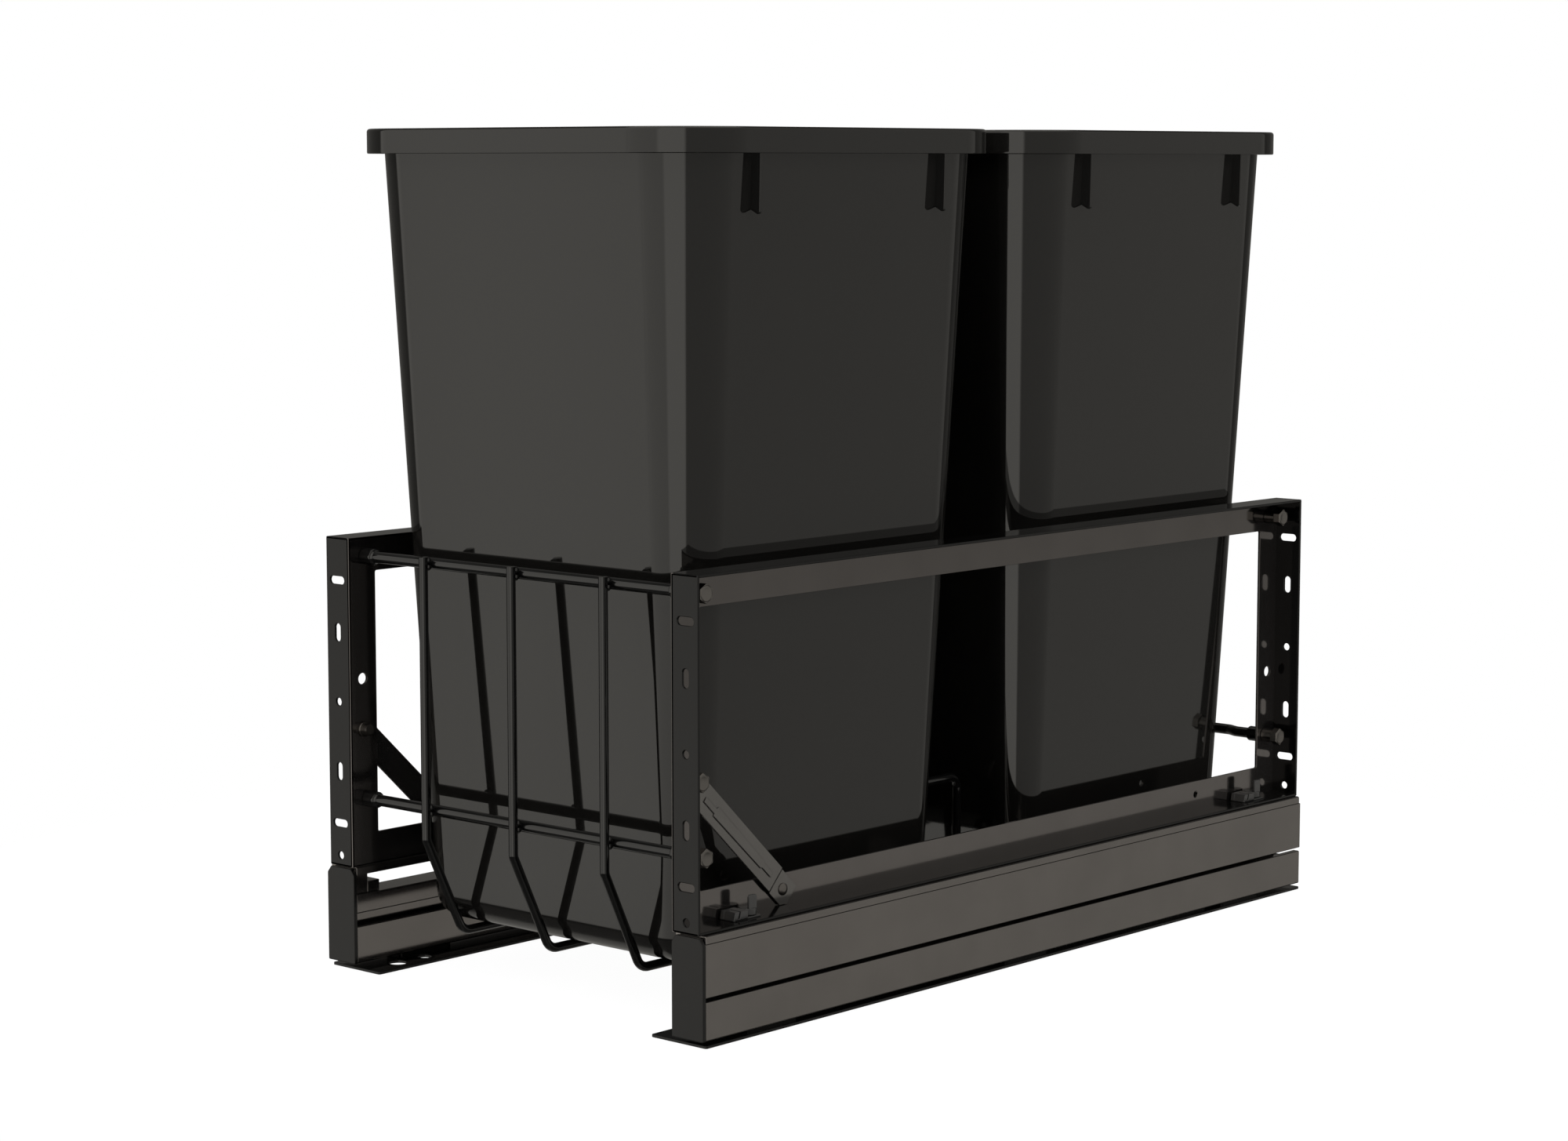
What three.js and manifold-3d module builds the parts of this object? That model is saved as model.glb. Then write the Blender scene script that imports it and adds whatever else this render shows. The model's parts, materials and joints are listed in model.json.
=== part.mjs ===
// Pull-out waste unit for a base cabinet: two lift-out bins hang in a wire basket between
// two pressed side frames, which ride on a pair of full-extension roller slides.
// Millimetres, +Z up, +X to the right and +Y from the front to the rear of the unit.
import * as THREE from "three";
import { mergeVertices } from "three/addons/utils/BufferGeometryUtils.js";
import Module from "manifold-3d";

const wasm = await Module();
wasm.setup();

// ---------------------------------------------------------------- driving dimensions
const clearance = 0.3; // running and assembly gap between neighbouring pieces
const contact = 0.1; // gap between welded or clamped pieces

// pressed side frames
const frameInnerHalf = 127.1; // centre plane to the inner face of a web
const frameDepth = 560;
const frameStandOff = 16.3; // top of the moving slide member to the underside of a frame
const frameHeight = 191;
const frameSheet = 1.6;
const flangeWidth = 19.3;
const topRailHeight = 20;
const uprightDepth = 20;
const lowerBandHeight = 18.8;
const flangeHoleInset = 9; // from the outer edge of a flange to its holes
const slotWidth = 4.6;
const slotLength = 12;
const flangeHoles = [
  { from: "bottom", by: 6.1, shape: "round" },
  { from: "bottom", by: 25, shape: "across" },
  { from: "bottom", by: 55.3, shape: "upright" },
  { from: "middle", by: 0.3, shape: "round" },
  { from: "top", by: -55, shape: "upright" },
  { from: "top", by: -24.8, shape: "across" },
];

// floor plates and slides
const plateThickness = 1.6;
const plateInward = 18.5; // inner face of a slide to the inner edge of its plate
const plateStart = 2.8;
const plateOverrun = 0.7; // rear plane of the frames to the rear of a plate
const padHeight = 2.2;
const padLength = 40;
const padWidth = 14;
const padInset = 60; // front and rear planes to the centres of the end pads
const padShift = 2; // centre of the middle pad behind the midpoint of the others
const plateHoleDiameter = 11;
const plateHoleOffset = 11; // from the inner edge of the plate
const plateHoleInset = 27; // from the front and the rear
const countersinkDiameter = 9;
const countersinkInset = 48;
const bufferLength = 7.7;
const railWall = 2.2;
const railLip = 2.3;
const lipThickness = 1.6;
const cabinetRailHeight = 21.2;
const innerWallRise = 0.7;
const railStart = 2.9;
const railEndInset = 0.2; // rear plane of the frames to the rear of a slide
const drawerRailRise = 8; // top of the fixed member to the underside of the moving one
const drawerRailHeight = 11.1;
const ballGap = 2.8; // between a rail wall and the middle rail
const middleRailShort = 14.8; // how much sooner the middle rail ends
const middleRailWall = 1.8;
const neckGap = 2.5; // between the neck of the middle rail and the lips
const rollerDiameter = 2.2;
const cageThickness = 0.9;
const cageStart = 190;
const cageLength = 180;
const rollerPitch = 45;
const headEase = 0.7; // between a head of the middle rail and the lips

// trim on the outside of the right-hand slide, and the end caps
const coverThickness = 2.3;
const coverRise = 2.1; // top of the fixed slide member to the underside of the cover
const coverOverrun = 0.4; // rear plane of the frames to the rear of the cover
const capInward = 0.5; // overhang of a cap past the inner face of its slide
const capOutward = 0.4; // and past the outer face
const capTopGap = 1.1; // top of a cap to the underside of the frame
const capThickness = 2.6;
const capBevelWidth = 3;
const capBevelHeight = 3.8;

// carrier channels and the risers under them
const channelInnerLeg = 4.9;
const channelOuterLeg = 4.4;
const channelEndInset = 1; // rear plane of the frames to the rear of a channel
const riserLength = 10;
const riserStepLength = 9;
const riserStepHeight = 6.4;

// wire basket
const crossbarDiameter = 6.6;
const crossbarInset = 12.3; // front plane to the front crossbars
const rearCrossbarInset = 9; // rear plane to the rear crossbars
const rearBoltInset = 12.3;
const rearOffsetInset = 23.6; // web to where the rear crossbars step back
const rearStepRadius = 8;
const upperCrossbarDrop = 11.1; // top of the frames to the upper crossbars
const lowerCrossbarRise = 39.2; // underside of the frames to the lower crossbars
const sleeveDiameter = 9.4;
const sleeveLength = 9;
const wireDiameter = 5.2;
const wireInset = 56.1; // web to the outer wires
const wireDrop = 33.9; // underside of the frames to the bottom run of the wires
const wireKinkDrop = 16.6; // lower crossbars to the bends below them
const wireFrontBend = 33.5;
const wireRearBendInset = 14; // rear plane to the rear bends
const wireTopOverrun = 4;
const wireBendRadius = 9;
const kinkRadius = 5;
const humpRise = 71; // bottom run of a wire to the top of its hump
const humpHalf = 22.5;
const humpRadius = 7;

// bolts, braces and rivets
const boltShank = 5;
const boltHole = 6.6;
const boltBore = 5.6;
const boltBoreDepth = 12;
const spacerDiameter = 8.4;
const spacerLength = 7.6;
const hexAcross = 9.4;
const hexHeight = 5;
const spareHoleRise = 109.2; // underside of the frames to the spare hole
const braceTopRise = 80; // and to the stud of a brace
const braceFootRise = 10.4; // and to the rivet of a brace
const braceTopInset = 9.6;
const braceFootInset = 84;
const rearBandHoleInset = 87; // rear plane to the spare rivet hole in the lower band
const braceWidth = 16;
const braceThickness = 1.3;
const braceStandOff = 1.4; // web to the back of the brace above its step
const braceFootOverrun = 8.5;
const braceTab = 16.3; // length of the tab at the foot, below the step
const braceStep = 1.5; // length of the step down to the tab
const rivetHead = 7;
const rivetShank = 3.6;
const rivetHole = 4.2;
const rivetHeadHeight = 1.2;
const nutProjection = 6;
const collarDiameter = 8.8;
const collarHeight = 1.6;
const endNutScale = 0.85; // width of the inner nut to the screw heads

// turn clips on the lower flanges
const frontClipInset = 33.5; // front plane to the front clips
const rearClipInset = 51; // rear plane to the front of the rear clips
const clipLength = 22;
const clipSideGap = 1.5; // web to a clip
const clipWidth = 10.4;
const clipHeight = 5;
const clipBase = 1;
const clipBlockLength = 11.4;
const clipPin = 3;
const clipTabHeight = 7.4;
const clipTabWidth = 6.2;
const clipTabThickness = 1.6;
const clipTabInset = 0.9; // from the side of the head to the tab
const clipSlotWidth = 1.2;

// bins
const overallHeight = 483;
const binSeatGap = 0.5; // bottom run of the wires to the underside of a bin
const rimSideOverhang = 10.9; // inner face of a web to the outer edge of a rim
const rimFront = 2.4;
const rimRearOverhang = 6.3; // rear plane of the frames to the rear of the rear rim
const binGap = 14.1; // between the rims of the two bins
const rimCorner = 46;
const rimHeight = 14;
const bodyInset = 21.475; // rim edge to the body of a bin at the top of the frames
const rimBevel = 1.5;
const binWall = 2.5;
const binDraft = 0.053; // each side moves in by this per millimetre of drop
const cornerDraft = 0.04;
const binBottomRadius = 16;
const finOffset = 76.7; // bin centre to a fin
const finThickness = 2;
const finDrop = 31;
const finNub = 1.2;

// ---------------------------------------------------------------- derived places
const plateTop = plateThickness;
const cabinetRailBottom = plateTop + padHeight;
const cabinetRailTop = cabinetRailBottom + cabinetRailHeight;
const drawerRailBottom = cabinetRailTop + drawerRailRise;
const drawerRailTop = drawerRailBottom + drawerRailHeight;
const frameBottom = drawerRailTop + frameStandOff;
const frameTop = frameBottom + frameHeight;
const flangeTop = frameBottom + frameSheet;
const webOuter = frameInnerHalf + frameSheet;
const flangeOuter = frameInnerHalf + flangeWidth;
const railInnerHalf = frameInnerHalf - contact;
const drawerRailOuterHalf = flangeOuter;
const plateOuterHalf = drawerRailOuterHalf + clearance + coverThickness;
const plateInnerHalf = railInnerHalf - plateInward;
const plateEnd = frameDepth + plateOverrun;
const rearPad = frameDepth - padInset;
const padStations = [padInset, (padInset + rearPad) / 2 + padShift, rearPad];
const railEnd = frameDepth - railEndInset;
const middleRailEnd = railEnd - middleRailShort;
const neckInnerHalf = railInnerHalf + railWall + railLip + neckGap;
const neckOuterHalf = drawerRailOuterHalf - railWall - railLip - neckGap;
const channelEnd = frameDepth - channelEndInset;
const channelBottomInner = frameBottom - channelInnerLeg;
const channelBottomOuter = frameBottom - channelOuterLeg;
const riserStepTop = drawerRailTop + riserStepHeight;
const coverBottom = cabinetRailTop + coverRise;
const coverTop = channelBottomOuter;
const coverEnd = frameDepth + coverOverrun;
const capInnerHalf = railInnerHalf - capInward;
const capOuterHalf = plateOuterHalf + capOutward;
const capBottom = cabinetRailBottom;
const capTop = frameBottom - capTopGap;
const upperCrossbarHeight = frameTop - upperCrossbarDrop;
const lowerCrossbarHeight = frameBottom + lowerCrossbarRise;
const wireBottomHeight = frameBottom - wireDrop;
const wireKinkHeight = lowerCrossbarHeight - wireKinkDrop;
const wireRearBend = frameDepth - wireRearBendInset;
const humpHeight = wireBottomHeight + humpRise;
const spareHoleHeight = frameBottom + spareHoleRise;
const braceTopHeight = frameBottom + braceTopRise;
const braceFootHeight = frameBottom + braceFootRise;
const rearOffsetX = frameInnerHalf - rearOffsetInset;
const wireSpacing = frameInnerHalf - wireInset;
const clipInnerHalf = webOuter + clipSideGap;
const clipStarts = [frontClipInset, frameDepth - rearClipInset];
const binBottom = wireBottomHeight + wireDiameter / 2 + binSeatGap;
const rimHalf = frameInnerHalf + rimSideOverhang;
const rimLength = (frameDepth + rimRearOverhang - rimFront - binGap) / 2;
const rearBin = rimFront + rimLength + binGap;
const binEnd = rearBin + rimLength;
const rimInset = bodyInset - binDraft * (overallHeight - frameTop);
const overallDepth = Math.max(binEnd, plateEnd, frameDepth);
const rearCrossbarY = frameDepth - rearCrossbarInset;
const rearBoltY = frameDepth - rearBoltInset;
const wireFrontY = crossbarInset - crossbarDiameter / 2 - wireDiameter / 2 - contact;
const wireRearY = rearCrossbarY + crossbarDiameter / 2 + wireDiameter / 2 + contact;
const humpCentre = (rimFront + binEnd) / 2;

// ---------------------------------------------------------------- solids
/** Turn a closed three.js geometry into a solid that can be joined and cut. */
function solid(geometry) {
  const merged = mergeVertices(stripped(geometry), 1e-4);
  return new wasm.Manifold(
    new wasm.Mesh({
      numProp: 3,
      vertProperties: new Float32Array(merged.attributes.position.array),
      triVerts: new Uint32Array(merged.index.array),
    }),
  );
}

/** Turn a solid back into a three.js geometry. */
function geometryOf(body) {
  const mesh = body.getMesh();
  const geometry = new THREE.BufferGeometry();
  geometry.setAttribute("position", new THREE.BufferAttribute(new Float32Array(mesh.vertProperties), 3));
  geometry.setIndex(new THREE.BufferAttribute(new Uint32Array(mesh.triVerts), 1));
  geometry.computeVertexNormals();
  return geometry;
}

const join = (...geometries) => geometries.map(solid).reduce((all, next) => all.add(next));
const cut = (body, ...geometries) => geometries.map(solid).reduce((all, next) => all.subtract(next), body);

/** Box between two corners, with the corners exactly as given so that flat faces can meet. */
function box(x0, x1, y0, y1, z0, z1) {
  const geometry = new THREE.BoxGeometry(1, 1, 1);
  const corner = geometry.attributes.position;
  for (let i = 0; i < corner.count; i += 1) {
    corner.setXYZ(i, corner.getX(i) > 0 ? x1 : x0, corner.getY(i) > 0 ? y1 : y0, corner.getZ(i) > 0 ? z1 : z0);
  }
  return geometry;
}

/** Cylinder or prism along X from x0 to x1. */
function rodX(diameter, x0, x1, y, z, sides = 12) {
  const geometry = new THREE.CylinderGeometry(diameter / 2, diameter / 2, x1 - x0, sides);
  return geometry.rotateZ(Math.PI / 2).translate((x0 + x1) / 2, y, z);
}

/** Cylinder or prism along Y from y0 to y1. */
function rodY(diameter, y0, y1, x, z, sides = 12) {
  const geometry = new THREE.CylinderGeometry(diameter / 2, diameter / 2, y1 - y0, sides);
  return geometry.translate(x, (y0 + y1) / 2, z);
}

/** Cylinder or prism along Z from z0 to z1. */
function rodZ(diameter, z0, z1, x, y, sides = 12) {
  const geometry = new THREE.CylinderGeometry(diameter / 2, diameter / 2, z1 - z0, sides);
  return geometry.rotateX(Math.PI / 2).translate(x, y, (z0 + z1) / 2);
}

/** Prism along Y of an outline drawn in X and Z. */
function alongY(outline, y0, y1) {
  const shape = new THREE.Shape(outline.map(([x, z]) => new THREE.Vector2(x, z)));
  const geometry = new THREE.ExtrudeGeometry(shape, { depth: y1 - y0, bevelEnabled: false });
  return geometry.rotateX(Math.PI / 2).translate(0, y1, 0);
}

/** Prism along X of an outline drawn in Y and Z. */
function alongX(outline, x0, x1) {
  const shape = new THREE.Shape(outline.map(([y, z]) => new THREE.Vector2(y, z)));
  const geometry = new THREE.ExtrudeGeometry(shape, { depth: x1 - x0, bevelEnabled: false });
  return geometry.rotateX(Math.PI / 2).rotateZ(Math.PI / 2).translate(x0, 0, 0);
}

/** Mirror a geometry built for the right-hand side to the left-hand side. */
function mirrored(geometry) {
  const indexed = geometry.index ? geometry.clone() : mergeVertices(stripped(geometry), 1e-4);
  const copy = indexed.scale(-1, 1, 1);
  const index = copy.index.array;
  for (let i = 0; i < index.length; i += 3) {
    [index[i], index[i + 1]] = [index[i + 1], index[i]];
  }
  copy.computeVertexNormals();
  return copy;
}

/** Closed surface through rings of equally many points, with flat ends. */
function loft(rings) {
  const count = rings[0].length;
  const positions = rings.flat(2);
  const index = [];
  const vertex = (ring, i) => ring * count + (i % count);
  for (let ring = 0; ring + 1 < rings.length; ring += 1) {
    for (let i = 0; i < count; i += 1) {
      index.push(vertex(ring, i), vertex(ring, i + 1), vertex(ring + 1, i + 1));
      index.push(vertex(ring, i), vertex(ring + 1, i + 1), vertex(ring + 1, i));
    }
  }
  const last = rings.length - 1;
  for (let i = 1; i + 1 < count; i += 1) {
    index.push(vertex(0, 0), vertex(0, i + 1), vertex(0, i));
    index.push(vertex(last, 0), vertex(last, i), vertex(last, i + 1));
  }
  const geometry = new THREE.BufferGeometry();
  geometry.setAttribute("position", new THREE.Float32BufferAttribute(positions, 3));
  geometry.setIndex(index);
  return geometry;
}

/** Round the corners of a polyline: each corner becomes a short run of points on an arc. */
function filleted(points, radii, steps = 4) {
  const path = [points[0]];
  for (let i = 1; i + 1 < points.length; i += 1) {
    const back = points[i - 1].clone().sub(points[i]).normalize();
    const ahead = points[i + 1].clone().sub(points[i]).normalize();
    const half = back.angleTo(ahead) / 2;
    const reach = radii[i - 1] / Math.tan(half);
    const centre = points[i].clone().add(
      back.clone().add(ahead).normalize().multiplyScalar(radii[i - 1] / Math.sin(half)),
    );
    const start = points[i].clone().addScaledVector(back, reach).sub(centre);
    const end = points[i].clone().addScaledVector(ahead, reach).sub(centre);
    const sweep = start.angleTo(end);
    for (let step = 0; step <= steps; step += 1) {
      const t = step / steps;
      const a = Math.sin((1 - t) * sweep) / Math.sin(sweep);
      const b = Math.sin(t * sweep) / Math.sin(sweep);
      path.push(centre.clone().addScaledVector(start, a).addScaledVector(end, b));
    }
  }
  path.push(points[points.length - 1]);
  return path;
}

/** Round wire along a path that lies in a plane with the given normal. */
function wire(path, diameter, normal, sides = 8) {
  const rings = path.map((point, i) => {
    const into = i > 0 ? point.clone().sub(path[i - 1]).normalize() : null;
    const out = i + 1 < path.length ? path[i + 1].clone().sub(point).normalize() : null;
    const along = (into ?? out).clone().add(out ?? into).normalize();
    const across = new THREE.Vector3().crossVectors(along, normal);
    const stretch = into && out ? 1 / Math.cos(into.angleTo(out) / 2) : 1;
    const ring = [];
    for (let side = 0; side < sides; side += 1) {
      const angle = ((side + 0.5) / sides) * 2 * Math.PI;
      ring.push(
        point
          .clone()
          .addScaledVector(normal, (diameter / 2) * Math.cos(angle))
          .addScaledVector(across, (diameter / 2) * stretch * Math.sin(angle))
          .toArray(),
      );
    }
    return ring;
  });
  return loft(rings);
}

// ---------------------------------------------------------------- finishes
const finish = (colour, roughness, metalness) =>
  new THREE.MeshStandardMaterial({ color: colour, roughness, metalness });
const coatedSteel = finish("#1a1918", 0.3, 0.3);
const coatedWire = finish("#141414", 0.25, 0.3);
const slideSteel = finish("#2c2a29", 0.35, 0.6);
const trimPlastic = finish("#2a2826", 0.35, 0.1);
const rollerPlastic = finish("#3a3a3a", 0.6, 0);
const darkBolt = finish("#35332f", 0.4, 0.7);
const binPlastic = finish("#24221f", 0.25, 0);
const rubber = finish("#1c1c1c", 0.8, 0);

// ---------------------------------------------------------------- side frames and fixings
/** Hole through a front or rear flange: round, or a slot across or upright. */
function flangeHole(shape, y0, y1, x, z) {
  const half = (slotLength - slotWidth) / 2;
  if (shape === "round") {
    return [rodY(slotWidth, y0, y1, x, z, 8)];
  }
  const dx = shape === "across" ? half : 0;
  const dz = shape === "across" ? 0 : half * 0.8;
  return [
    rodY(slotWidth, y0, y1, x - dx, z - dz, 8),
    rodY(slotWidth, y0, y1, x + dx, z + dz, 8),
    shape === "across"
      ? box(x - dx, x + dx, y0, y1, z - slotWidth / 2, z + slotWidth / 2)
      : box(x - slotWidth / 2, x + slotWidth / 2, y0, y1, z - dz, z + dz),
  ];
}

/** Pressed side frame: web with a window, and flanges turned out all round. */
function sideFrame() {
  const sheet = frameSheet;
  const blank = box(frameInnerHalf, flangeOuter, 0, frameDepth, frameBottom, frameTop);
  const pocket = box(webOuter, flangeOuter + 1, sheet, frameDepth - sheet, flangeTop, frameTop - sheet);
  const window = box(
    frameInnerHalf - 1,
    webOuter + 1,
    uprightDepth,
    frameDepth - uprightDepth,
    frameBottom + lowerBandHeight,
    frameTop - topRailHeight,
  );
  const webHole = (diameter, y, z) => rodX(diameter, frameInnerHalf - 1, webOuter + 1, y, z, 10);
  const holes = [
    webHole(boltHole, crossbarInset, upperCrossbarHeight),
    webHole(boltHole, crossbarInset, lowerCrossbarHeight),
    webHole(boltHole, rearBoltY, upperCrossbarHeight),
    webHole(boltHole, rearBoltY, lowerCrossbarHeight),
    webHole(boltHole, braceTopInset, braceTopHeight),
    webHole(boltHole, frameDepth - braceTopInset, braceTopHeight),
    webHole(boltHole, braceTopInset, spareHoleHeight),
    webHole(rivetHole, braceFootInset, braceFootHeight),
    webHole(rivetHole, frameDepth - rearBandHoleInset, braceFootHeight),
  ];
  const holeX = flangeOuter - flangeHoleInset;
  const levels = { bottom: frameBottom, middle: (frameBottom + frameTop) / 2, top: frameTop };
  for (const { from, by, shape } of flangeHoles) {
    const z = levels[from] + by;
    holes.push(...flangeHole(shape, -1, sheet + 1, holeX, z));
    holes.push(...flangeHole(shape, frameDepth - sheet - 1, frameDepth + 1, holeX, z));
  }
  return geometryOf(cut(solid(blank), pocket, window, ...holes));
}

/** Screw that holds a crossbar end: shank, round spacer and hexagon head outside the web. */
function crossbarBolt(y, z) {
  const face = webOuter + contact;
  return geometryOf(
    join(
      rodX(boltShank, frameInnerHalf - boltBoreDepth + 1, face + 1, y, z, 8),
      rodX(spacerDiameter, face, face + spacerLength, y, z, 12),
      rodX(hexAcross / Math.cos(Math.PI / 6), face + spacerLength - 0.5, face + spacerLength + hexHeight, y, z, 6),
    ),
  );
}

const braceRun = Math.hypot(braceFootInset - braceTopInset, braceTopHeight - braceFootHeight);
const braceAngle = Math.atan2(braceTopHeight - braceFootHeight, braceFootInset - braceTopInset);
const braceBack = webOuter + braceStandOff;
const tabBack = webOuter + clearance;
const stepAt = braceRun + braceFootOverrun - braceTab - braceStep;

/** Flat brace: round at its bolt, stepped down to a tab that is riveted to the web. */
function brace() {
  const end = braceRun + braceFootOverrun;
  const front = braceBack + braceThickness;
  const outline = [
    [0, braceBack],
    [stepAt, braceBack],
    [stepAt + braceStep, tabBack],
    [end, tabBack],
    [end, tabBack + braceThickness],
    [stepAt + braceStep, tabBack + braceThickness],
    [stepAt, front],
    [0, front],
  ];
  const shape = new THREE.Shape(outline.map(([along, x]) => new THREE.Vector2(along, x)));
  const bar = new THREE.ExtrudeGeometry(shape, { depth: braceWidth, bevelEnabled: false });
  bar.translate(0, 0, -braceWidth / 2);
  const hole = (diameter, y, z) => rodX(diameter, webOuter - 1, front + 1, y, z, 10);
  return geometryOf(
    cut(
      join(placeOnBrace(bar), rodX(braceWidth, braceBack, front, braceTopInset, braceTopHeight, 24)),
      hole(boltHole, braceTopInset, braceTopHeight),
      hole(rivetHole, braceFootInset, braceFootHeight),
      box(webOuter, front + 1, -braceWidth, frameSheet + clearance, braceTopHeight - braceWidth, braceTopHeight + braceWidth),
      box(webOuter, front + 1, 0, braceFootInset + braceWidth, 0, flangeTop + clearance),
    ),
  );
}

/** Map a geometry drawn as (along the brace, distance from the centre plane, across) into place. */
function placeOnBrace(geometry) {
  const along = new THREE.Vector3(0, Math.cos(braceAngle), -Math.sin(braceAngle));
  const outward = new THREE.Vector3(1, 0, 0);
  const across = new THREE.Vector3().crossVectors(along, outward);
  const matrix = new THREE.Matrix4().makeBasis(along, outward, across);
  matrix.setPosition(0, braceTopInset, braceTopHeight);
  return geometry.applyMatrix4(matrix);
}

/** Stud that carries the top of a brace, with a collar and a hexagon end inside the web. */
function braceStud() {
  const y = braceTopInset;
  const z = braceTopHeight;
  const inside = frameInnerHalf - contact;
  const face = webOuter + contact;
  const head = face + spacerLength;
  const hexWidth = hexAcross / Math.cos(Math.PI / 6);
  return geometryOf(
    join(
      rodX(boltShank, inside - 1, head + 1, y, z, 8),
      rodX(collarDiameter, inside - collarHeight, inside, y, z, 12),
      rodX(hexWidth * endNutScale, inside - nutProjection, inside - collarHeight / 2, y, z, 6),
      rodX(spacerDiameter, face, braceBack - contact, y, z, 12),
      rodX(spacerDiameter, braceBack + braceThickness + contact, head + 0.5, y, z, 12),
      rodX(hexWidth, head, head + hexHeight, y, z, 6),
    ),
  );
}

/** Rivet through the foot of a brace and the web. */
function braceRivet() {
  const y = braceFootInset;
  const z = braceFootHeight;
  const outside = tabBack + braceThickness + contact;
  const inside = frameInnerHalf - contact;
  return geometryOf(
    join(
      rodX(rivetShank, inside - 0.5, outside + 0.5, y, z, 8),
      rodX(rivetHead, outside, outside + rivetHeadHeight, y, z, 12),
      rodX(rivetHead, inside - rivetHeadHeight, inside, y, z, 12),
    ),
  );
}

// ---------------------------------------------------------------- turn clips
const clipCentreX = clipInnerHalf + clipWidth / 2;
const clipPinY = (start) => start + (clipBlockLength + clipLength) / 2;
const clipPinTop = flangeTop + clipHeight - 2 * clearance;

/** Fixed half of a turn clip: slotted block, thin sole and the pin of the turning half. */
function clipBody(start) {
  const floor = flangeTop;
  const x1 = clipInnerHalf + clipWidth;
  const block = [
    [start, floor],
    [start + clipBlockLength, floor],
    [start + clipBlockLength, floor + clipHeight],
    [start + clipSlotWidth, floor + clipHeight],
  ];
  const slot = [
    [start + 3 * clipSlotWidth, floor + clipBase],
    [start + 4 * clipSlotWidth, floor + clipBase],
    [start + 5 * clipSlotWidth, floor + clipHeight + 1],
    [start + 4 * clipSlotWidth, floor + clipHeight + 1],
  ];
  return geometryOf(
    cut(
      join(
        alongX(block, clipInnerHalf, x1),
        box(clipInnerHalf, x1, start, start + clipLength, floor, floor + clipBase),
        rodZ(clipPin, floor + clipBase / 2, clipPinTop, clipCentreX, clipPinY(start), 8),
      ),
      alongX(slot, clipInnerHalf + 2 * clipSlotWidth, x1 + 1),
    ),
  );
}

/** Turning half of a clip: round head with an upright thumb tab. */
function clipTurn(start) {
  const y = clipPinY(start);
  const z0 = flangeTop + clipBase + clearance;
  const z1 = flangeTop + clipHeight;
  const head = clipLength - clipBlockLength - 3 * clearance;
  const tabX1 = clipCentreX + head / 2 - clipTabInset;
  return geometryOf(
    cut(
      join(
        rodZ(head, z0, z1, clipCentreX, y, 12),
        box(tabX1 - clipTabThickness, tabX1, y - clipTabWidth / 2, y + clipTabWidth / 2, z1 - 0.5, z1 + clipTabHeight),
      ),
      rodZ(clipPin + 2 * clearance, z0 - 1, clipPinTop + clearance, clipCentreX, y, 8),
    ),
  );
}

// ---------------------------------------------------------------- wire basket
/** Crossbar between the side frames: rod, with a sleeve at each end bored for its screw. */
function crossbar(y, yEnd, z) {
  const reach = frameInnerHalf - contact;
  const sleeve = (side) =>
    rodX(
      sleeveDiameter,
      side > 0 ? reach - sleeveLength : -reach,
      side > 0 ? reach : sleeveLength - reach,
      yEnd,
      z,
      12,
    );
  const step = Math.abs(yEnd - y);
  const points =
    step < 0.01
      ? [new THREE.Vector3(-reach + 1, y, z), new THREE.Vector3(reach - 1, y, z)]
      : [
          new THREE.Vector3(-reach + 1, yEnd, z),
          new THREE.Vector3(-rearOffsetX - step, yEnd, z),
          new THREE.Vector3(-rearOffsetX + step, y, z),
          new THREE.Vector3(rearOffsetX - step, y, z),
          new THREE.Vector3(rearOffsetX + step, yEnd, z),
          new THREE.Vector3(reach - 1, yEnd, z),
        ];
  const radii = [rearStepRadius, rearStepRadius, rearStepRadius, rearStepRadius];
  const path = points.length > 2 ? filleted(points, radii, 2) : points;
  const bore = (side) =>
    rodX(
      boltBore,
      side > 0 ? reach - boltBoreDepth : -reach - 1,
      side > 0 ? reach + 1 : boltBoreDepth - reach,
      yEnd,
      z,
      10,
    );
  const rod = wire(path, crossbarDiameter, new THREE.Vector3(0, 0, 1), 10);
  return geometryOf(cut(join(rod, sleeve(1), sleeve(-1)), bore(1), bore(-1)));
}

/** Lengthwise basket wire: down the front, under both bins with a hump between them, up the rear. */
function basketWire(x) {
  const top = upperCrossbarHeight + wireTopOverrun;
  const low = wireBottomHeight;
  const corners = [
    [wireFrontY, top],
    [wireFrontY, wireKinkHeight],
    [wireFrontBend, low],
    [humpCentre - humpHalf, low],
    [humpCentre - humpHalf, humpHeight],
    [humpCentre + humpHalf, humpHeight],
    [humpCentre + humpHalf, low],
    [wireRearBend, low],
    [wireRearY, wireKinkHeight],
    [wireRearY, top],
  ];
  const radii = [
    kinkRadius,
    wireBendRadius,
    humpRadius,
    humpRadius,
    humpRadius,
    humpRadius,
    wireBendRadius,
    kinkRadius,
  ];
  const points = corners.map(([y, z]) => new THREE.Vector3(x, y, z));
  return wire(filleted(points, radii, 3), wireDiameter, new THREE.Vector3(1, 0, 0), 8);
}

// ---------------------------------------------------------------- slides
/** Floor plate that is screwed down in the cabinet, with raised pads under the slide. */
function floorPlate() {
  const middle = (railInnerHalf + plateOuterHalf) / 2;
  const pads = padStations.map((y) =>
    box(middle - padWidth / 2, middle + padWidth / 2, y - padLength / 2, y + padLength / 2, 0.5, cabinetRailBottom),
  );
  const screwHole = (diameter, y) => rodZ(diameter, -1, plateTop + 1, plateInnerHalf + plateHoleOffset, y, 12);
  return geometryOf(
    cut(
      join(box(plateInnerHalf, plateOuterHalf, plateStart, plateEnd, 0, plateTop), ...pads),
      screwHole(plateHoleDiameter, plateHoleInset),
      screwHole(countersinkDiameter, countersinkInset),
      screwHole(plateHoleDiameter, frameDepth - plateHoleInset),
      screwHole(countersinkDiameter, frameDepth - countersinkInset),
    ),
  );
}

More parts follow.
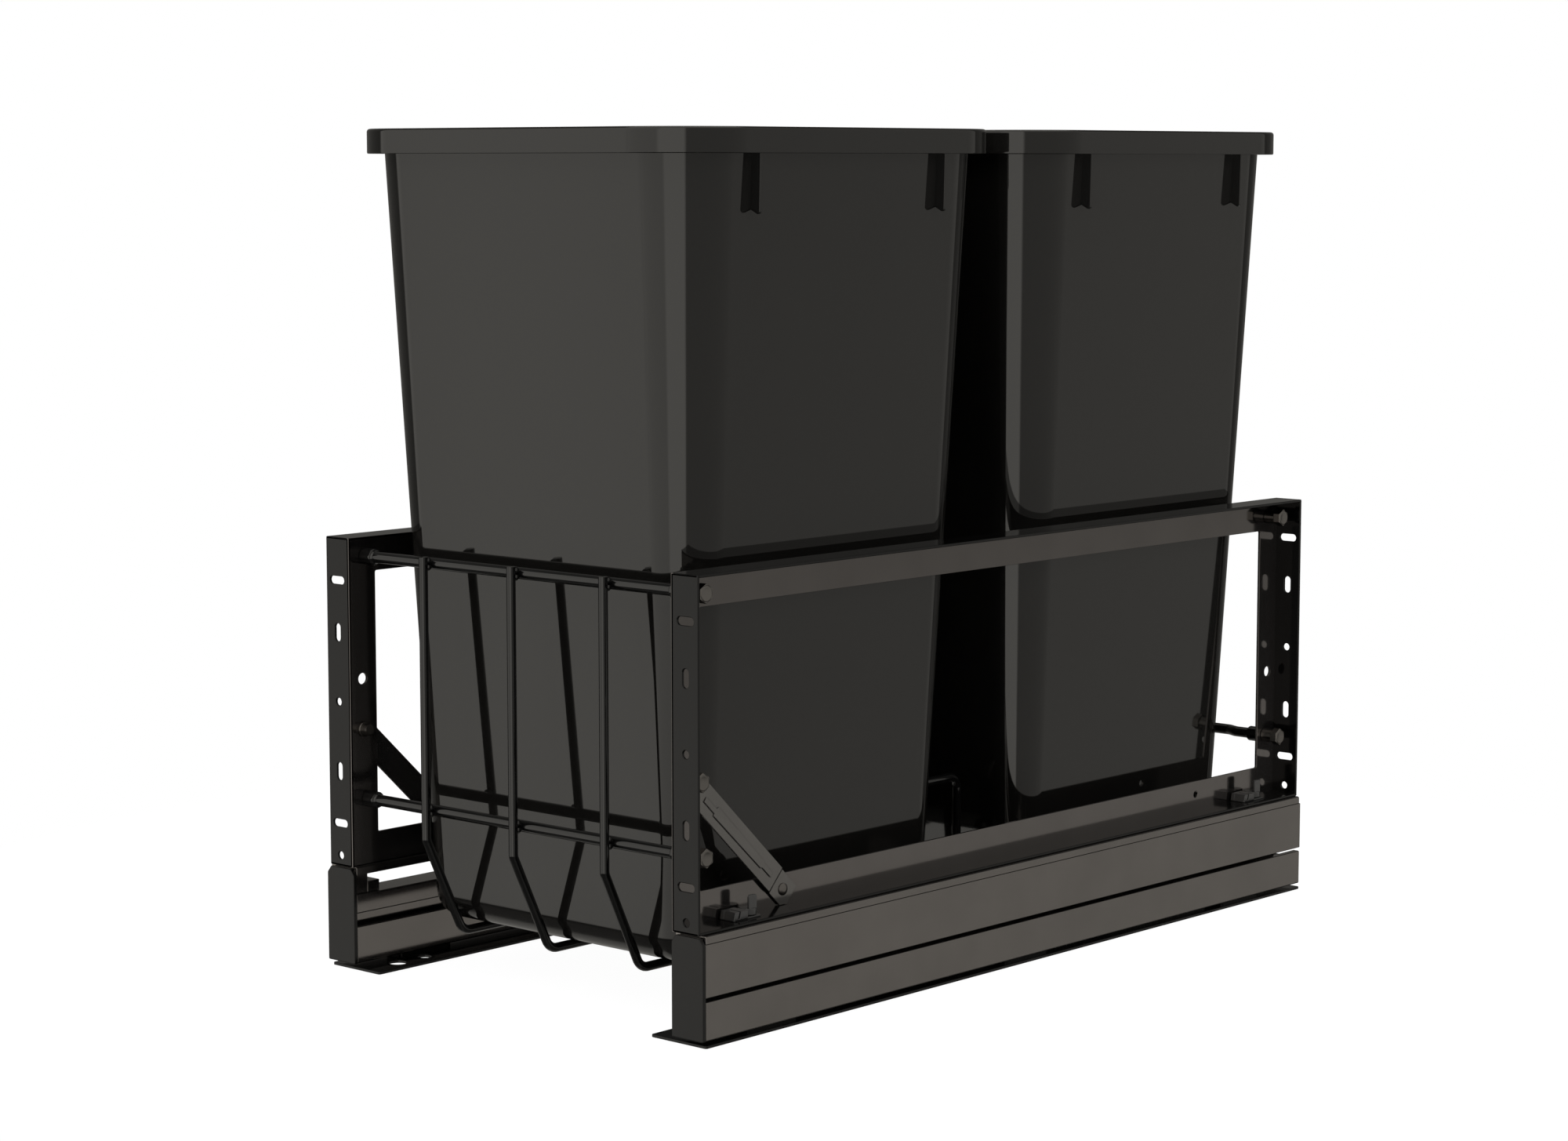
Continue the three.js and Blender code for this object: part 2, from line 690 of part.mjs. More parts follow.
/** Fixed slide member: a channel open at the top, with lips that keep the middle rail in. */
function cabinetRail() {
  const x0 = railInnerHalf;
  const x1 = plateOuterHalf;
  const z0 = cabinetRailBottom;
  const z1 = cabinetRailTop;
  const lip = railWall + railLip;
  const profile = [
    [x0, z0],
    [x1, z0],
    [x1, z1],
    [x1 - lip, z1],
    [x1 - lip, z1 - lipThickness],
    [x1 - railWall, z1 - lipThickness],
    [x1 - railWall, z0 + railWall],
    [x0 + railWall, z0 + railWall],
    [x0 + railWall, z1 - lipThickness],
    [x0 + lip, z1 - lipThickness],
    [x0 + lip, z1 + innerWallRise],
    [x0, z1 + innerWallRise],
  ];
  return alongY(profile, railStart, railEnd);
}

/** Moving slide member: a channel open at the bottom, over the middle rail. */
function drawerRail() {
  const x0 = railInnerHalf;
  const x1 = drawerRailOuterHalf;
  const z0 = drawerRailBottom;
  const z1 = drawerRailTop;
  const lip = railWall + railLip;
  const profile = [
    [x0, z0],
    [x0 + lip, z0],
    [x0 + lip, z0 + lipThickness],
    [x0 + railWall, z0 + lipThickness],
    [x0 + railWall, z1 - railWall],
    [x1 - railWall, z1 - railWall],
    [x1 - railWall, z0 + lipThickness],
    [x1 - lip, z0 + lipThickness],
    [x1 - lip, z0],
    [x1, z0],
    [x1, z1],
    [x0, z1],
  ];
  return alongY(profile, railStart, railEnd);
}

const headInner = railInnerHalf + railWall + ballGap;
const lowerHeadOuter = plateOuterHalf - railWall - ballGap;
const upperHeadOuter = drawerRailOuterHalf - railWall - ballGap;
const lowerHeadBottom = cabinetRailBottom + railWall + ballGap;
const lowerHeadTop = cabinetRailTop - lipThickness - headEase;
const upperHeadBottom = drawerRailBottom + lipThickness + headEase;
const upperHeadTop = drawerRailTop - railWall - ballGap;

/** Middle rail: a hollow head in each channel, joined by a neck between the lips. */
function middleRail() {
  const y0 = railStart;
  const y1 = middleRailEnd;
  const wall = middleRailWall;
  const hollow = (x0, x1, z0, z1) => box(x0 + wall, x1 - wall, y0 - 1, y1 + 1, z0 + wall, z1 - wall);
  return geometryOf(
    cut(
      join(
        box(headInner, lowerHeadOuter, y0, y1, lowerHeadBottom, lowerHeadTop),
        box(neckInnerHalf, neckOuterHalf, y0, y1, lowerHeadTop - 1, upperHeadBottom + 1),
        box(headInner, upperHeadOuter, y0, y1, upperHeadBottom, upperHeadTop),
      ),
      hollow(headInner, lowerHeadOuter, lowerHeadBottom, lowerHeadTop),
    ),
  );
}

/** Roller cage wrapped round one head of the middle rail; up is 1 for the upper head. */
function rollerCage(outer, headBottom, headTop, up) {
  const near = headInner - ballGap / 2;
  const far = outer + ballGap / 2;
  const end = up > 0 ? headTop + ballGap / 2 : headBottom - ballGap / 2;
  const half = cageThickness / 2;
  const y0 = cageStart;
  const y1 = cageStart + cageLength;
  const bottom = up > 0 ? headBottom + half : end - half;
  const top = up > 0 ? end + half : headTop - half;
  const pieces = [
    box(near - half, near + half, y0, y1, bottom, top),
    box(far - half, far + half, y0, y1, bottom, top),
    box(near - half, far + half, y0, y1, end - half, end + half),
  ];
  const low = headBottom + rollerDiameter / 2;
  const high = headTop - rollerDiameter / 2;
  for (let y = y0 + rollerPitch / 2; y < y1; y += rollerPitch) {
    pieces.push(
      rodZ(rollerDiameter, low, high, near, y, 8),
      rodZ(rollerDiameter, low, high, far, y, 8),
      rodX(rollerDiameter, headInner + rollerDiameter, outer - rollerDiameter, y, end, 8),
    );
  }
  return geometryOf(join(...pieces));
}

/** Rubber buffer that stops the middle rail at the closed position. */
function rearBuffer() {
  return box(
    headInner + 0.5,
    lowerHeadOuter - 0.5,
    middleRailEnd + clearance,
    middleRailEnd + clearance + bufferLength,
    cabinetRailBottom + railWall,
    lowerHeadTop,
  );
}

/** Channel that the side frame stands on; its legs hang over the risers. */
function carrierChannel() {
  const x0 = railInnerHalf;
  const x1 = plateOuterHalf;
  const top = frameBottom;
  const profile = [
    [x0, channelBottomInner],
    [x0 + frameSheet, channelBottomInner],
    [x0 + frameSheet, top - frameSheet],
    [x1 - frameSheet, top - frameSheet],
    [x1 - frameSheet, channelBottomOuter],
    [x1, channelBottomOuter],
    [x1, top],
    [x0, top],
  ];
  return alongY(profile, railStart, channelEnd);
}

/** Stepped riser between the moving slide member and the carrier channel. */
function riser(start, direction) {
  const x0 = railInnerHalf + frameSheet + clearance;
  const x1 = drawerRailOuterHalf - clearance;
  const far = start + direction * riserLength;
  const stepEnd = far + direction * riserStepLength;
  const top = frameBottom - frameSheet - contact;
  return geometryOf(
    join(
      box(x0, x1, Math.min(start, far), Math.max(start, far), drawerRailTop + contact, top),
      box(
        x0,
        x1,
        Math.min(far - direction, stepEnd),
        Math.max(far - direction, stepEnd),
        drawerRailTop + contact,
        riserStepTop,
      ),
    ),
  );
}

/** Trim panel on the outside of the moving slide member. */
function railCover() {
  return box(plateOuterHalf - coverThickness, plateOuterHalf, capThickness + contact, coverEnd, coverBottom, coverTop - contact);
}

/** End cap across the front of one slide, with bevelled top corners. */
function endCap() {
  const x0 = capInnerHalf;
  const x1 = capOuterHalf;
  const outline = [
    [x0, capBottom],
    [x1, capBottom],
    [x1, capTop - capBevelHeight],
    [x1 - capBevelWidth, capTop],
    [x0 + capBevelWidth, capTop],
    [x0, capTop - capBevelHeight],
  ];
  return alongY(outline, 0, capThickness);
}

// ---------------------------------------------------------------- bins
/** Ring of points round a rectangle with round corners, counter-clockwise from above. */
function roundedRing(half, front, rear, radius, z) {
  const corners = [
    [half - radius, rear - radius, 0],
    [radius - half, rear - radius, 1],
    [radius - half, front + radius, 2],
    [half - radius, front + radius, 3],
  ];
  const steps = 6;
  const ring = [];
  for (const [x, y, quarter] of corners) {
    for (let step = 0; step <= steps; step += 1) {
      const angle = ((quarter + step / steps) * Math.PI) / 2;
      ring.push([x + radius * Math.cos(angle), y + radius * Math.sin(angle), z]);
    }
  }
  return ring;
}

/** Ring of the bin's tapering body at a height, drawn in by an inset. */
function bodyRing(front, z, inset) {
  const drop = overallHeight - z;
  const inward = rimInset + binDraft * drop + inset;
  const radius = rimCorner - rimInset - cornerDraft * drop - inset;
  return roundedRing(rimHalf - inward, front + inward, front + rimLength - inward, radius, z);
}

/** Ring of the rim, drawn in by an inset. */
function rimRing(front, z, inset) {
  return roundedRing(rimHalf - inset, front + inset, front + rimLength - inset, rimCorner - inset, z);
}

/** Lift-out bin: tapered shell with a turned-down rim and stiffening fins under it. */
function bin(front) {
  const rings = [];
  const turns = 4;
  for (let turn = 0; turn <= turns; turn += 1) {
    const angle = (turn / turns) * (Math.PI / 2);
    const inset = binBottomRadius * (1 - Math.sin(angle));
    rings.push(bodyRing(front, binBottom + binBottomRadius * (1 - Math.cos(angle)), inset));
  }
  const skirtTop = overallHeight - binWall;
  const skirtBottom = overallHeight - rimHeight;
  rings.push(
    bodyRing(front, skirtTop, 0),
    rimRing(front, skirtTop, binWall),
    rimRing(front, skirtBottom, binWall),
    rimRing(front, skirtBottom, 0),
    rimRing(front, overallHeight - rimBevel, 0),
    rimRing(front, overallHeight, rimBevel),
    bodyRing(front, overallHeight, binWall),
  );
  const innerRadius = binBottomRadius - binWall;
  for (let turn = turns - 1; turn >= 0; turn -= 1) {
    const angle = (turn / (turns - 1)) * (Math.PI / 2);
    const inset = binWall + innerRadius * (1 - Math.sin(angle));
    rings.push(bodyRing(front, binBottom + binWall + innerRadius * (1 - Math.cos(angle)), inset));
  }
  const centre = front + rimLength / 2;
  const fins = [-1, 1].flatMap((side) => [-1, 1].map((end) => fin(side, centre + end * finOffset)));
  return geometryOf(join(loft(rings), ...fins));
}

/** Upright fin between the body of a bin and the skirt of its rim. */
function fin(side, y) {
  const top = overallHeight - binWall + 0.5;
  const foot = overallHeight - rimHeight - finDrop;
  const bodyX = (z) => rimHalf - rimInset - binDraft * (overallHeight - z) - 1;
  const skirtX = rimHalf - binWall + 0.6;
  const outline = [
    [bodyX(top), top],
    [bodyX(foot), foot + 2],
    [skirtX - 4, foot - finNub],
    [skirtX - 2.4, foot],
    [skirtX - 1.6, overallHeight - rimHeight + 0.5],
    [skirtX, overallHeight - rimHeight + 0.5],
    [skirtX, top],
  ];
  const geometry = alongY(outline, y - finThickness / 2, y + finThickness / 2);
  if (side > 0) {
    return geometry;
  }
  return mirrored(geometry);
}

/** Copy of a geometry that keeps its positions only. */
function stripped(geometry) {
  const copy = geometry.clone();
  copy.deleteAttribute("normal");
  copy.deleteAttribute("uv");
  return copy;
}

// ---------------------------------------------------------------- assembly
const unit = new THREE.Group();
unit.position.y = -overallDepth / 2;

/** Add one named piece. */
function add(name, geometry, material) {
  const mesh = new THREE.Mesh(geometry, material);
  mesh.name = name;
  unit.add(mesh);
}

/** Add a right-hand piece and its mirror image on the left. */
function addPair(name, geometry, material) {
  add(`${name}_right`, geometry, material);
  add(`${name}_left`, mirrored(geometry), material);
}

addPair("floor_plate", floorPlate(), coatedSteel);
addPair("cabinet_rail", cabinetRail(), slideSteel);
addPair("rear_buffer", rearBuffer(), rubber);
addPair("middle_rail", middleRail(), slideSteel);
addPair("lower_roller_cage", rollerCage(lowerHeadOuter, lowerHeadBottom, lowerHeadTop, -1), rollerPlastic);
addPair("upper_roller_cage", rollerCage(upperHeadOuter, upperHeadBottom, upperHeadTop, 1), rollerPlastic);
addPair("drawer_rail", drawerRail(), slideSteel);
add("rail_cover_right", railCover(), slideSteel);
addPair("front_riser", riser(railStart + 0.2, 1), slideSteel);
addPair("rear_riser", riser(channelEnd - 0.2, -1), slideSteel);
addPair("carrier_channel", carrierChannel(), coatedSteel);
addPair("end_cap", endCap(), trimPlastic);
addPair("side_frame", sideFrame(), coatedSteel);
addPair("brace", brace(), coatedSteel);
addPair("brace_stud", braceStud(), darkBolt);
addPair("brace_rivet", braceRivet(), darkBolt);
addPair("front_upper_bolt", crossbarBolt(crossbarInset, upperCrossbarHeight), darkBolt);
addPair("front_lower_bolt", crossbarBolt(crossbarInset, lowerCrossbarHeight), darkBolt);
addPair("rear_upper_bolt", crossbarBolt(rearBoltY, upperCrossbarHeight), darkBolt);
addPair("rear_lower_bolt", crossbarBolt(rearBoltY, lowerCrossbarHeight), darkBolt);
["front", "rear"].forEach((place, i) => {
  addPair(`${place}_clip_body`, clipBody(clipStarts[i]), trimPlastic);
  addPair(`${place}_clip_turn`, clipTurn(clipStarts[i]), trimPlastic);
});
add("front_upper_crossbar", crossbar(crossbarInset, crossbarInset, upperCrossbarHeight), coatedWire);
add("front_lower_crossbar", crossbar(crossbarInset, crossbarInset, lowerCrossbarHeight), coatedWire);
add("rear_upper_crossbar", crossbar(rearCrossbarY, rearBoltY, upperCrossbarHeight), coatedWire);
add("rear_lower_crossbar", crossbar(rearCrossbarY, rearBoltY, lowerCrossbarHeight), coatedWire);
add("basket_wire_left", basketWire(-wireSpacing), coatedWire);
add("basket_wire_middle", basketWire(0), coatedWire);
add("basket_wire_right", basketWire(wireSpacing), coatedWire);
add("front_bin", bin(rimFront), binPlastic);
add("rear_bin", bin(rearBin), binPlastic);

export default unit;
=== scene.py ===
"""Looks of a pull-out waste unit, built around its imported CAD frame.

Two lift-out bins hang in a wire basket between two pressed side frames on roller slides.
Pieces are drawn in millimetres for the right-hand side, with Y measured from the front plane
of the side frames, and are then placed in the frame in metres.
"""
import json
import logging
import math
from collections.abc import Iterable, Sequence
from dataclasses import dataclass
from enum import Enum
from functools import cache

import bmesh
import bpy
from mathutils import Matrix, Vector


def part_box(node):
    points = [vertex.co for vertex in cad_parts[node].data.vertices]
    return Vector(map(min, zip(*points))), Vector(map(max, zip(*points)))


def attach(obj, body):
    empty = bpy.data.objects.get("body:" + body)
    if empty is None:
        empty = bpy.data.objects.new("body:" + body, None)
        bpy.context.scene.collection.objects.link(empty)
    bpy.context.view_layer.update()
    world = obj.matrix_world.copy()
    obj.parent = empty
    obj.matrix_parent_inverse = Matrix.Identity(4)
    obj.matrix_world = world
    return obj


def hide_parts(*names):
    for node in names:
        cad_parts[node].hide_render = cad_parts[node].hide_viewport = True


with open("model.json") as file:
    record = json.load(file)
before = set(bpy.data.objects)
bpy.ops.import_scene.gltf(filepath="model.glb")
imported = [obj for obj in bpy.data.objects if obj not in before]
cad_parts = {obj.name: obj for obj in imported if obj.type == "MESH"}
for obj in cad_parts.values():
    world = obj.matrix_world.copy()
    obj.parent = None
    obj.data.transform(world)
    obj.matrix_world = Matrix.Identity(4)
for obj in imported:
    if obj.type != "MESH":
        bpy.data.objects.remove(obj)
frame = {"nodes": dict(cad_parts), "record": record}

LOG = logging.getLogger("waste_unit")
MM = 0.001
FRONT_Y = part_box("side_frame_right")[0][1]
BODY_OF = {node: body for body, nodes in frame["record"]["behaviour"]["bodies"].items() for node in nodes}

# Places that several pieces share, in millimetres
BOLT_Y = {"front": 12.3, "rear": 547.7}
BOLT_Z = {"upper": 240.3, "lower": 99.6}
CLIP_Y = {"front": 33.5, "rear": 509.0}
BIN_FRONT = {"front_bin": 2.4, "rear_bin": 291.4}
BRACE_TOP, BRACE_FOOT = (9.6, 140.4), (84.0, 70.8)
FRAME_LOW, FRAME_DEPTH, SHEET = 60.4, 560.0, 1.6
MERGE_DISTANCE = 0.002
SHARP_ANGLE = math.radians(38.0)
# Scale of the drawn lines' pattern along X, Y and Z
LINE_STRETCH = (900.0, 6.0, 900.0)

Point2 = tuple[float, float]
Loop = list[Point2]
Colour = tuple[float, float, float]
Mesh = bpy.types.Mesh
Socket = bpy.types.NodeSocket
Sockets = bpy.types.bpy_prop_collection


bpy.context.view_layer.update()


class Side(Enum):
    """Side of the unit that a piece belongs to; the value is the sign of X."""

    RIGHT = 1
    LEFT = -1

    @property
    def suffix(self) -> str:
        """Ending of the piece's name."""
        return self.name.lower()


class Axis(Enum):
    """Direction in which an outline is drawn out, or about which a profile is turned."""

    X = "x"
    Y = "y"
    Z = "z"

    def matrix(self) -> Matrix:
        """Map an outline drawn in the local XY plane, with its depth along local Z.

        Returns:
            A matrix that takes the outline to (Y, Z), (X, Z) or (X, Y) of the unit.
        """
        if self is Axis.X:
            return Matrix(((0, 0, 1, 0), (1, 0, 0, 0), (0, 1, 0, 0), (0, 0, 0, 1)))
        if self is Axis.Y:
            return Matrix(((1, 0, 0, 0), (0, 0, -1, 0), (0, 1, 0, 0), (0, 0, 0, 1)))
        return Matrix.Identity(4)


# --- shader nodes
@dataclass
class Graph:
    """Node tree with short ways to add nodes and to join them."""

    tree: bpy.types.NodeTree

    def feed(self, target: Socket, value: object) -> None:
        """Join an input to a socket, or set the input's own value.

        Args:
            target: the input.
            value: socket, number, vector or colour with alpha.
        """
        if isinstance(value, Socket):
            self.tree.links.new(value, target)
        else:
            target.default_value = value

    def add(self, kind: str, inputs: dict[str | int, object], **settings: object) -> bpy.types.Node:
        """Add a node.

        Args:
            kind: Blender's type of the node, without "ShaderNode".
            inputs: what each input gets, by its name or its place.
            settings: the node's own settings.

        Returns:
            The node.
        """
        node = self.tree.nodes.new("ShaderNode" + kind)
        for label, value in settings.items():
            setattr(node, label, value)
        for key, value in inputs.items():
            self.feed(node.inputs[key], value)
        return node

    def compute(self, operation: str, first: object, second: object, clamp: bool = False) -> Socket:
        """Result of a Math node."""
        return self.add("Math", {0: first, 1: second}, operation=operation, use_clamp=clamp).outputs[0]

    def noise(self, vector: Socket, scale: object, detail: float) -> Socket:
        """Value of a Noise Texture."""
        return self.add("TexNoise", {"Vector": vector, "Scale": scale, "Detail": detail}).outputs[0]

    def blend(self, share: Socket, first: Socket, second: Socket) -> Socket:
        """Colour between two colours."""
        return self.add("Mix", {0: share, 6: first, 7: second}, data_type="RGBA").outputs[2]


class Effects:
    """Shader node groups that several finishes share, each built once."""

    @staticmethod
    def _start(name: str, output: str, **inputs: float | Colour) -> tuple[Graph, Sockets, Socket]:
        """Open a node group with its sockets.

        Args:
            name: name of the group.
            output: name of its output; one called Colour carries a colour, any other a number.
            inputs: default of each input by name; a triple makes a colour socket.

        Returns:
            The group's graph, the sockets that it is given, and the socket that takes its result.
        """
        group = bpy.data.node_groups.new(name, "ShaderNodeTree")
        group.interface.new_socket("Vector", in_out="INPUT", socket_type="NodeSocketVector")
        for label, value in inputs.items():
            colour = isinstance(value, tuple)
            kind = "NodeSocketColor" if colour else "NodeSocketFloat"
            made = group.interface.new_socket(label, in_out="INPUT", socket_type=kind)
            made.default_value = (*value, 1.0) if colour else value
        kind = "NodeSocketColor" if output == "Colour" else "NodeSocketFloat"
        group.interface.new_socket(output, in_out="OUTPUT", socket_type=kind)
        given, result = (group.nodes.new("NodeGroup" + end) for end in ("Input", "Output"))
        return Graph(group), given.outputs, result.inputs[0]

    @staticmethod
    @cache
    def moulded_grain() -> bpy.types.NodeTree:
        """Fine even grain over the slow waves that a moulded wall keeps from its cooling.

        Returns:
            The node group.
        """
        graph, given, result = Effects._start("moulded_grain", "Height", Scale=900.0, Waves=0.5)
        fine = graph.noise(given["Vector"], given["Scale"], 2.0)
        slow = graph.noise(given["Vector"], 14.0, 1.0)
        graph.feed(result, graph.compute("ADD", fine, graph.compute("MULTIPLY", slow, given["Waves"])))
        return graph.tree

    @staticmethod
    @cache
    def orange_peel() -> bpy.types.NodeTree:
        """Low rounded ripple of a baked powder coat, with finer specks in it.

        Returns:
            The node group.
        """
        graph, given, result = Effects._start("orange_peel", "Height", Scale=330.0, Specks=0.25)
        ripple = graph.noise(given["Vector"], given["Scale"], 0.0)
        specks = graph.noise(given["Vector"], graph.compute("MULTIPLY", given["Scale"], 5.0), 1.0)
        graph.feed(result, graph.compute("ADD", ripple, graph.compute("MULTIPLY", specks, given["Specks"])))
        return graph.tree

    @staticmethod
    @cache
    def drawn_lines() -> bpy.types.NodeTree:
        """Lengthwise lines that rolling leaves along the depth of a slide.

        Returns:
            The node group.
        """
        graph, given, result = Effects._start("drawn_lines", "Height", Scale=1.0)
        stretch = graph.add("VectorMath", {0: given["Vector"], 1: LINE_STRETCH}, operation="MULTIPLY")
        graph.feed(result, graph.noise(stretch.outputs[0], given["Scale"], 3.0))
        return graph.tree

    @staticmethod
    @cache
    def roughness_spread() -> bpy.types.NodeTree:
        """Roughness that drifts a little over a surface, as handling and cooling leave it.

        Returns:
            The node group.
        """
        graph, given, result = Effects._start(
            "roughness_spread", "Roughness", Middle=0.2, Spread=0.05, Scale=22.0
        )
        drift = graph.compute("SUBTRACT", graph.noise(given["Vector"], given["Scale"], 3.0), 0.5)
        swing = graph.compute("MULTIPLY", drift, given["Spread"])
        graph.feed(result, graph.compute("ADD", given["Middle"], swing, True))
        return graph.tree

    @staticmethod
    @cache
    def settled_dust() -> bpy.types.NodeTree:
        """Colour with a faint film of dust on faces that look up.

        Returns:
            The node group.
        """
        graph, given, result = Effects._start(
            "settled_dust", "Colour", Colour=(0.02, 0.02, 0.02), Dust=(0.16, 0.15, 0.135), Amount=0.05
        )
        facing = graph.add("SeparateXYZ", {0: graph.add("NewGeometry", {}).outputs["Normal"]}).outputs["Z"]
        up = graph.compute("POWER", graph.compute("MAXIMUM", facing, 0.0), 4.0)
        specks = graph.compute("MULTIPLY", up, graph.noise(given["Vector"], 160.0, 5.0))
        film = graph.compute("MULTIPLY", specks, given["Amount"], True)
        graph.feed(result, graph.blend(film, given["Colour"], given["Dust"]))
        return graph.tree

    @staticmethod
    @cache
    def tone_drift() -> bpy.types.NodeTree:
        """Colour that drifts slightly lighter and darker over a surface.

        Returns:
            The node group.
        """
        graph, given, result = Effects._start(
            "tone_drift", "Colour", Colour=(0.02, 0.02, 0.02), Swing=0.2, Scale=30.0
        )
        drift = graph.compute("SUBTRACT", graph.noise(given["Vector"], given["Scale"], 4.0), 0.5)
        factor = graph.compute("ADD", graph.compute("MULTIPLY", drift, given["Swing"]), 1.0)
        scaled = graph.add("VectorMath", {0: given["Colour"], "Scale": factor}, operation="SCALE")
        graph.feed(result, scaled.outputs[0])
        return graph.tree

    @staticmethod
    @cache
    def height_blend() -> bpy.types.NodeTree:
        """Colour that changes with height from one tone to another, a painted reflection tone by height.

        Returns:
            The node group.
        """
        graph, given, result = Effects._start(
            "height_blend", "Colour", Low=(0.02, 0.02, 0.02), High=(0.1, 0.1, 0.1), From=0.1, To=0.2
        )
        height = graph.add("SeparateXYZ", {0: given["Vector"]}).outputs["Z"]
        limits = {"Value": height, "From Min": given["From"], "From Max": given["To"]}
        rise = graph.add("MapRange", limits, interpolation_type="SMOOTHSTEP").outputs[0]
        graph.feed(result, graph.blend(rise, given["Low"], given["High"]))
        return graph.tree


class Relief(Enum):
    """Fine relief that a finish carries; the value names its node group."""

    MOULDED = "moulded_grain"
    COATED = "orange_peel"
    ROLLED = "drawn_lines"

    def group(self) -> bpy.types.NodeTree:
        """Node group that gives the height of this relief."""
        return getattr(Effects, self.value)()


@dataclass(frozen=True)
class Finish:
    """One finish: its colour, gloss and fine relief, with the relief's depth in millimetres."""

    name: str
    slot: str
    colour: Colour
    roughness: float
    relief: Relief
    scale: float
    depth: float
    spread: float = 0.04
    metallic: float = 0.0
    ior: float = 1.5
    swing: float = 0.25
    dust: float = 0.02
    high_colour: Colour | None = None

    def material(self) -> bpy.types.Material:
        """Material of this finish, built on first use.

        Returns:
            The material with its shader nodes.
        """
        label = self.name + "_finish"
        if label in bpy.data.materials:
            return bpy.data.materials[label]
        material = bpy.data.materials.new(label)
        material.use_nodes = True
        graph = Graph(material.node_tree)
        vector = graph.add("TexCoord", {}).outputs["Object"]

        def effect(group: bpy.types.NodeTree, **values: object) -> Socket:
            """Result of a shared effect with its own values."""
            return graph.add("Group", {"Vector": vector, **values}, node_tree=group).outputs[0]

        ground: object = (*self.colour, 1.0)
        # Painted reflection tone: the colour is lighter low on the web and darker high on the top rail.
        if self.high_colour:
            ground = effect(Effects.height_blend(), Low=ground, High=(*self.high_colour, 1.0))
        tone = effect(Effects.tone_drift(), Colour=ground, Swing=self.swing)
        height = effect(self.relief.group(), Scale=self.scale)
        bump = graph.add("Bump", {"Strength": 1.0, "Distance": self.depth * MM, "Height": height})
        shader = graph.tree.nodes["Principled BSDF"].inputs
        graph.feed(shader["Base Color"], effect(Effects.settled_dust(), Colour=tone, Amount=self.dust))
        gloss = effect(Effects.roughness_spread(), Middle=self.roughness, Spread=self.spread)
        graph.feed(shader["Roughness"], gloss)
        graph.feed(shader["Normal"], bump.outputs["Normal"])
        shader["Metallic"].default_value = self.metallic
        shader["IOR"].default_value = self.ior
        material.diffuse_color = (*self.colour, 1.0)
        return material


BIN_PLASTIC = Finish(
    "bin_plastic", "bin_plastic", (0.0062, 0.0058, 0.0052), 0.045, Relief.MOULDED, 900, 0.0012, 0.02
)
# Shaded copy of the frame's gloss black coat: near black with a low IOR, so the flanges that face the front
# stay dark. This is painted shade beside the web's lit copy below.
FLANGE_COAT = Finish(
    "flange_coat", "coated_steel", (0.0032, 0.0031, 0.0030), 0.10, Relief.COATED, 330, 0.002,
    ior=1.33, dust=0.002,
)
# Lit copy of the same coat: a light metallic tone on the web, a painted sheen for faces that turn to the
# side light. It is also lighter low than high, a painted reflection by height.
LIT_WEB_COAT = Finish(
    "web_coat", "coated_steel", (0.165, 0.154, 0.149), 0.11, Relief.COATED, 330, 0.002,
    metallic=0.96, high_colour=(0.118, 0.110, 0.106),
)
BRACE_COAT = Finish(
    "brace_coat", "coated_steel", (0.172, 0.167, 0.161), 0.14, Relief.COATED, 330, 0.002, metallic=0.94
)
WIRE_COAT = Finish("wire_coat", "coated_wire", (0.0030, 0.0030, 0.0030), 0.07, Relief.COATED, 260, 0.002)
SLIDE_STEEL = Finish(
    "slide_steel", "slide_steel", (0.192, 0.180, 0.172), 0.12, Relief.ROLLED, 1, 0.0004, metallic=0.97
)
TRIM_PLASTIC = Finish(
    "trim_plastic", "trim_plastic", (0.0042, 0.0041, 0.0039), 0.18, Relief.MOULDED, 1300, 0.002,
    ior=1.33, dust=0.004,
)
CLIP_PLASTIC = Finish(
    "clip_plastic", "trim_plastic", (0.0340, 0.0332, 0.0320), 0.20, Relief.MOULDED, 1300, 0.002, ior=1.52
)
CAGE_PLASTIC = Finish(
    "cage_plastic", "cage_plastic", (0.06, 0.06, 0.058), 0.45, Relief.MOULDED, 1500, 0.004, 0.08
)
BOLT_STEEL = Finish(
    "bolt_steel", "bolt_steel", (0.170, 0.160, 0.150), 0.26, Relief.COATED, 900, 0.002, 0.08, metallic=1.0
)
BUFFER_RUBBER = Finish(
    "buffer_rubber", "buffer_rubber", (0.012, 0.012, 0.012), 0.6, Relief.MOULDED, 1600, 0.006, 0.10
)


# --- outlines and paths
def circle(x: float, y: float, radius: float, steps: int = 28) -> Loop:
    """Round outline about a point."""
    turn = 2 * math.pi / steps
    return [(x + radius * math.cos(i * turn), y + radius * math.sin(i * turn)) for i in range(steps)]


def quarter(steps: int) -> list[Point2]:
    """Pairs of 1 - cosine and 1 - sine over a quarter turn."""
    angles = [step / steps * math.pi / 2 for step in range(steps + 1)]
    return [(1 - math.cos(angle), 1 - math.sin(angle)) for angle in angles]


def slot(x: float, y: float, width: float, length: float, upright: bool, steps: int = 12) -> Loop:
    """Outline of a slot with round ends.

    Args:
        x: centre, first direction.
        y: centre, second direction.
        width: width of the slot.
        length: length over both ends.
        upright: whether the slot runs in the second direction.
        steps: segments of each round end.

    Returns:
        The outline.
    """
    half = (length - width) / 2
    loop: Loop = []
    for end in (1, -1):
        for i in range(steps + 1):
            angle = math.pi * (i / steps - 0.5) + (0.0 if end > 0 else math.pi)
            along, across = end * half + width / 2 * math.cos(angle), width / 2 * math.sin(angle)
            loop.append((x - across, y + along) if upright else (x + along, y + across))
    return loop


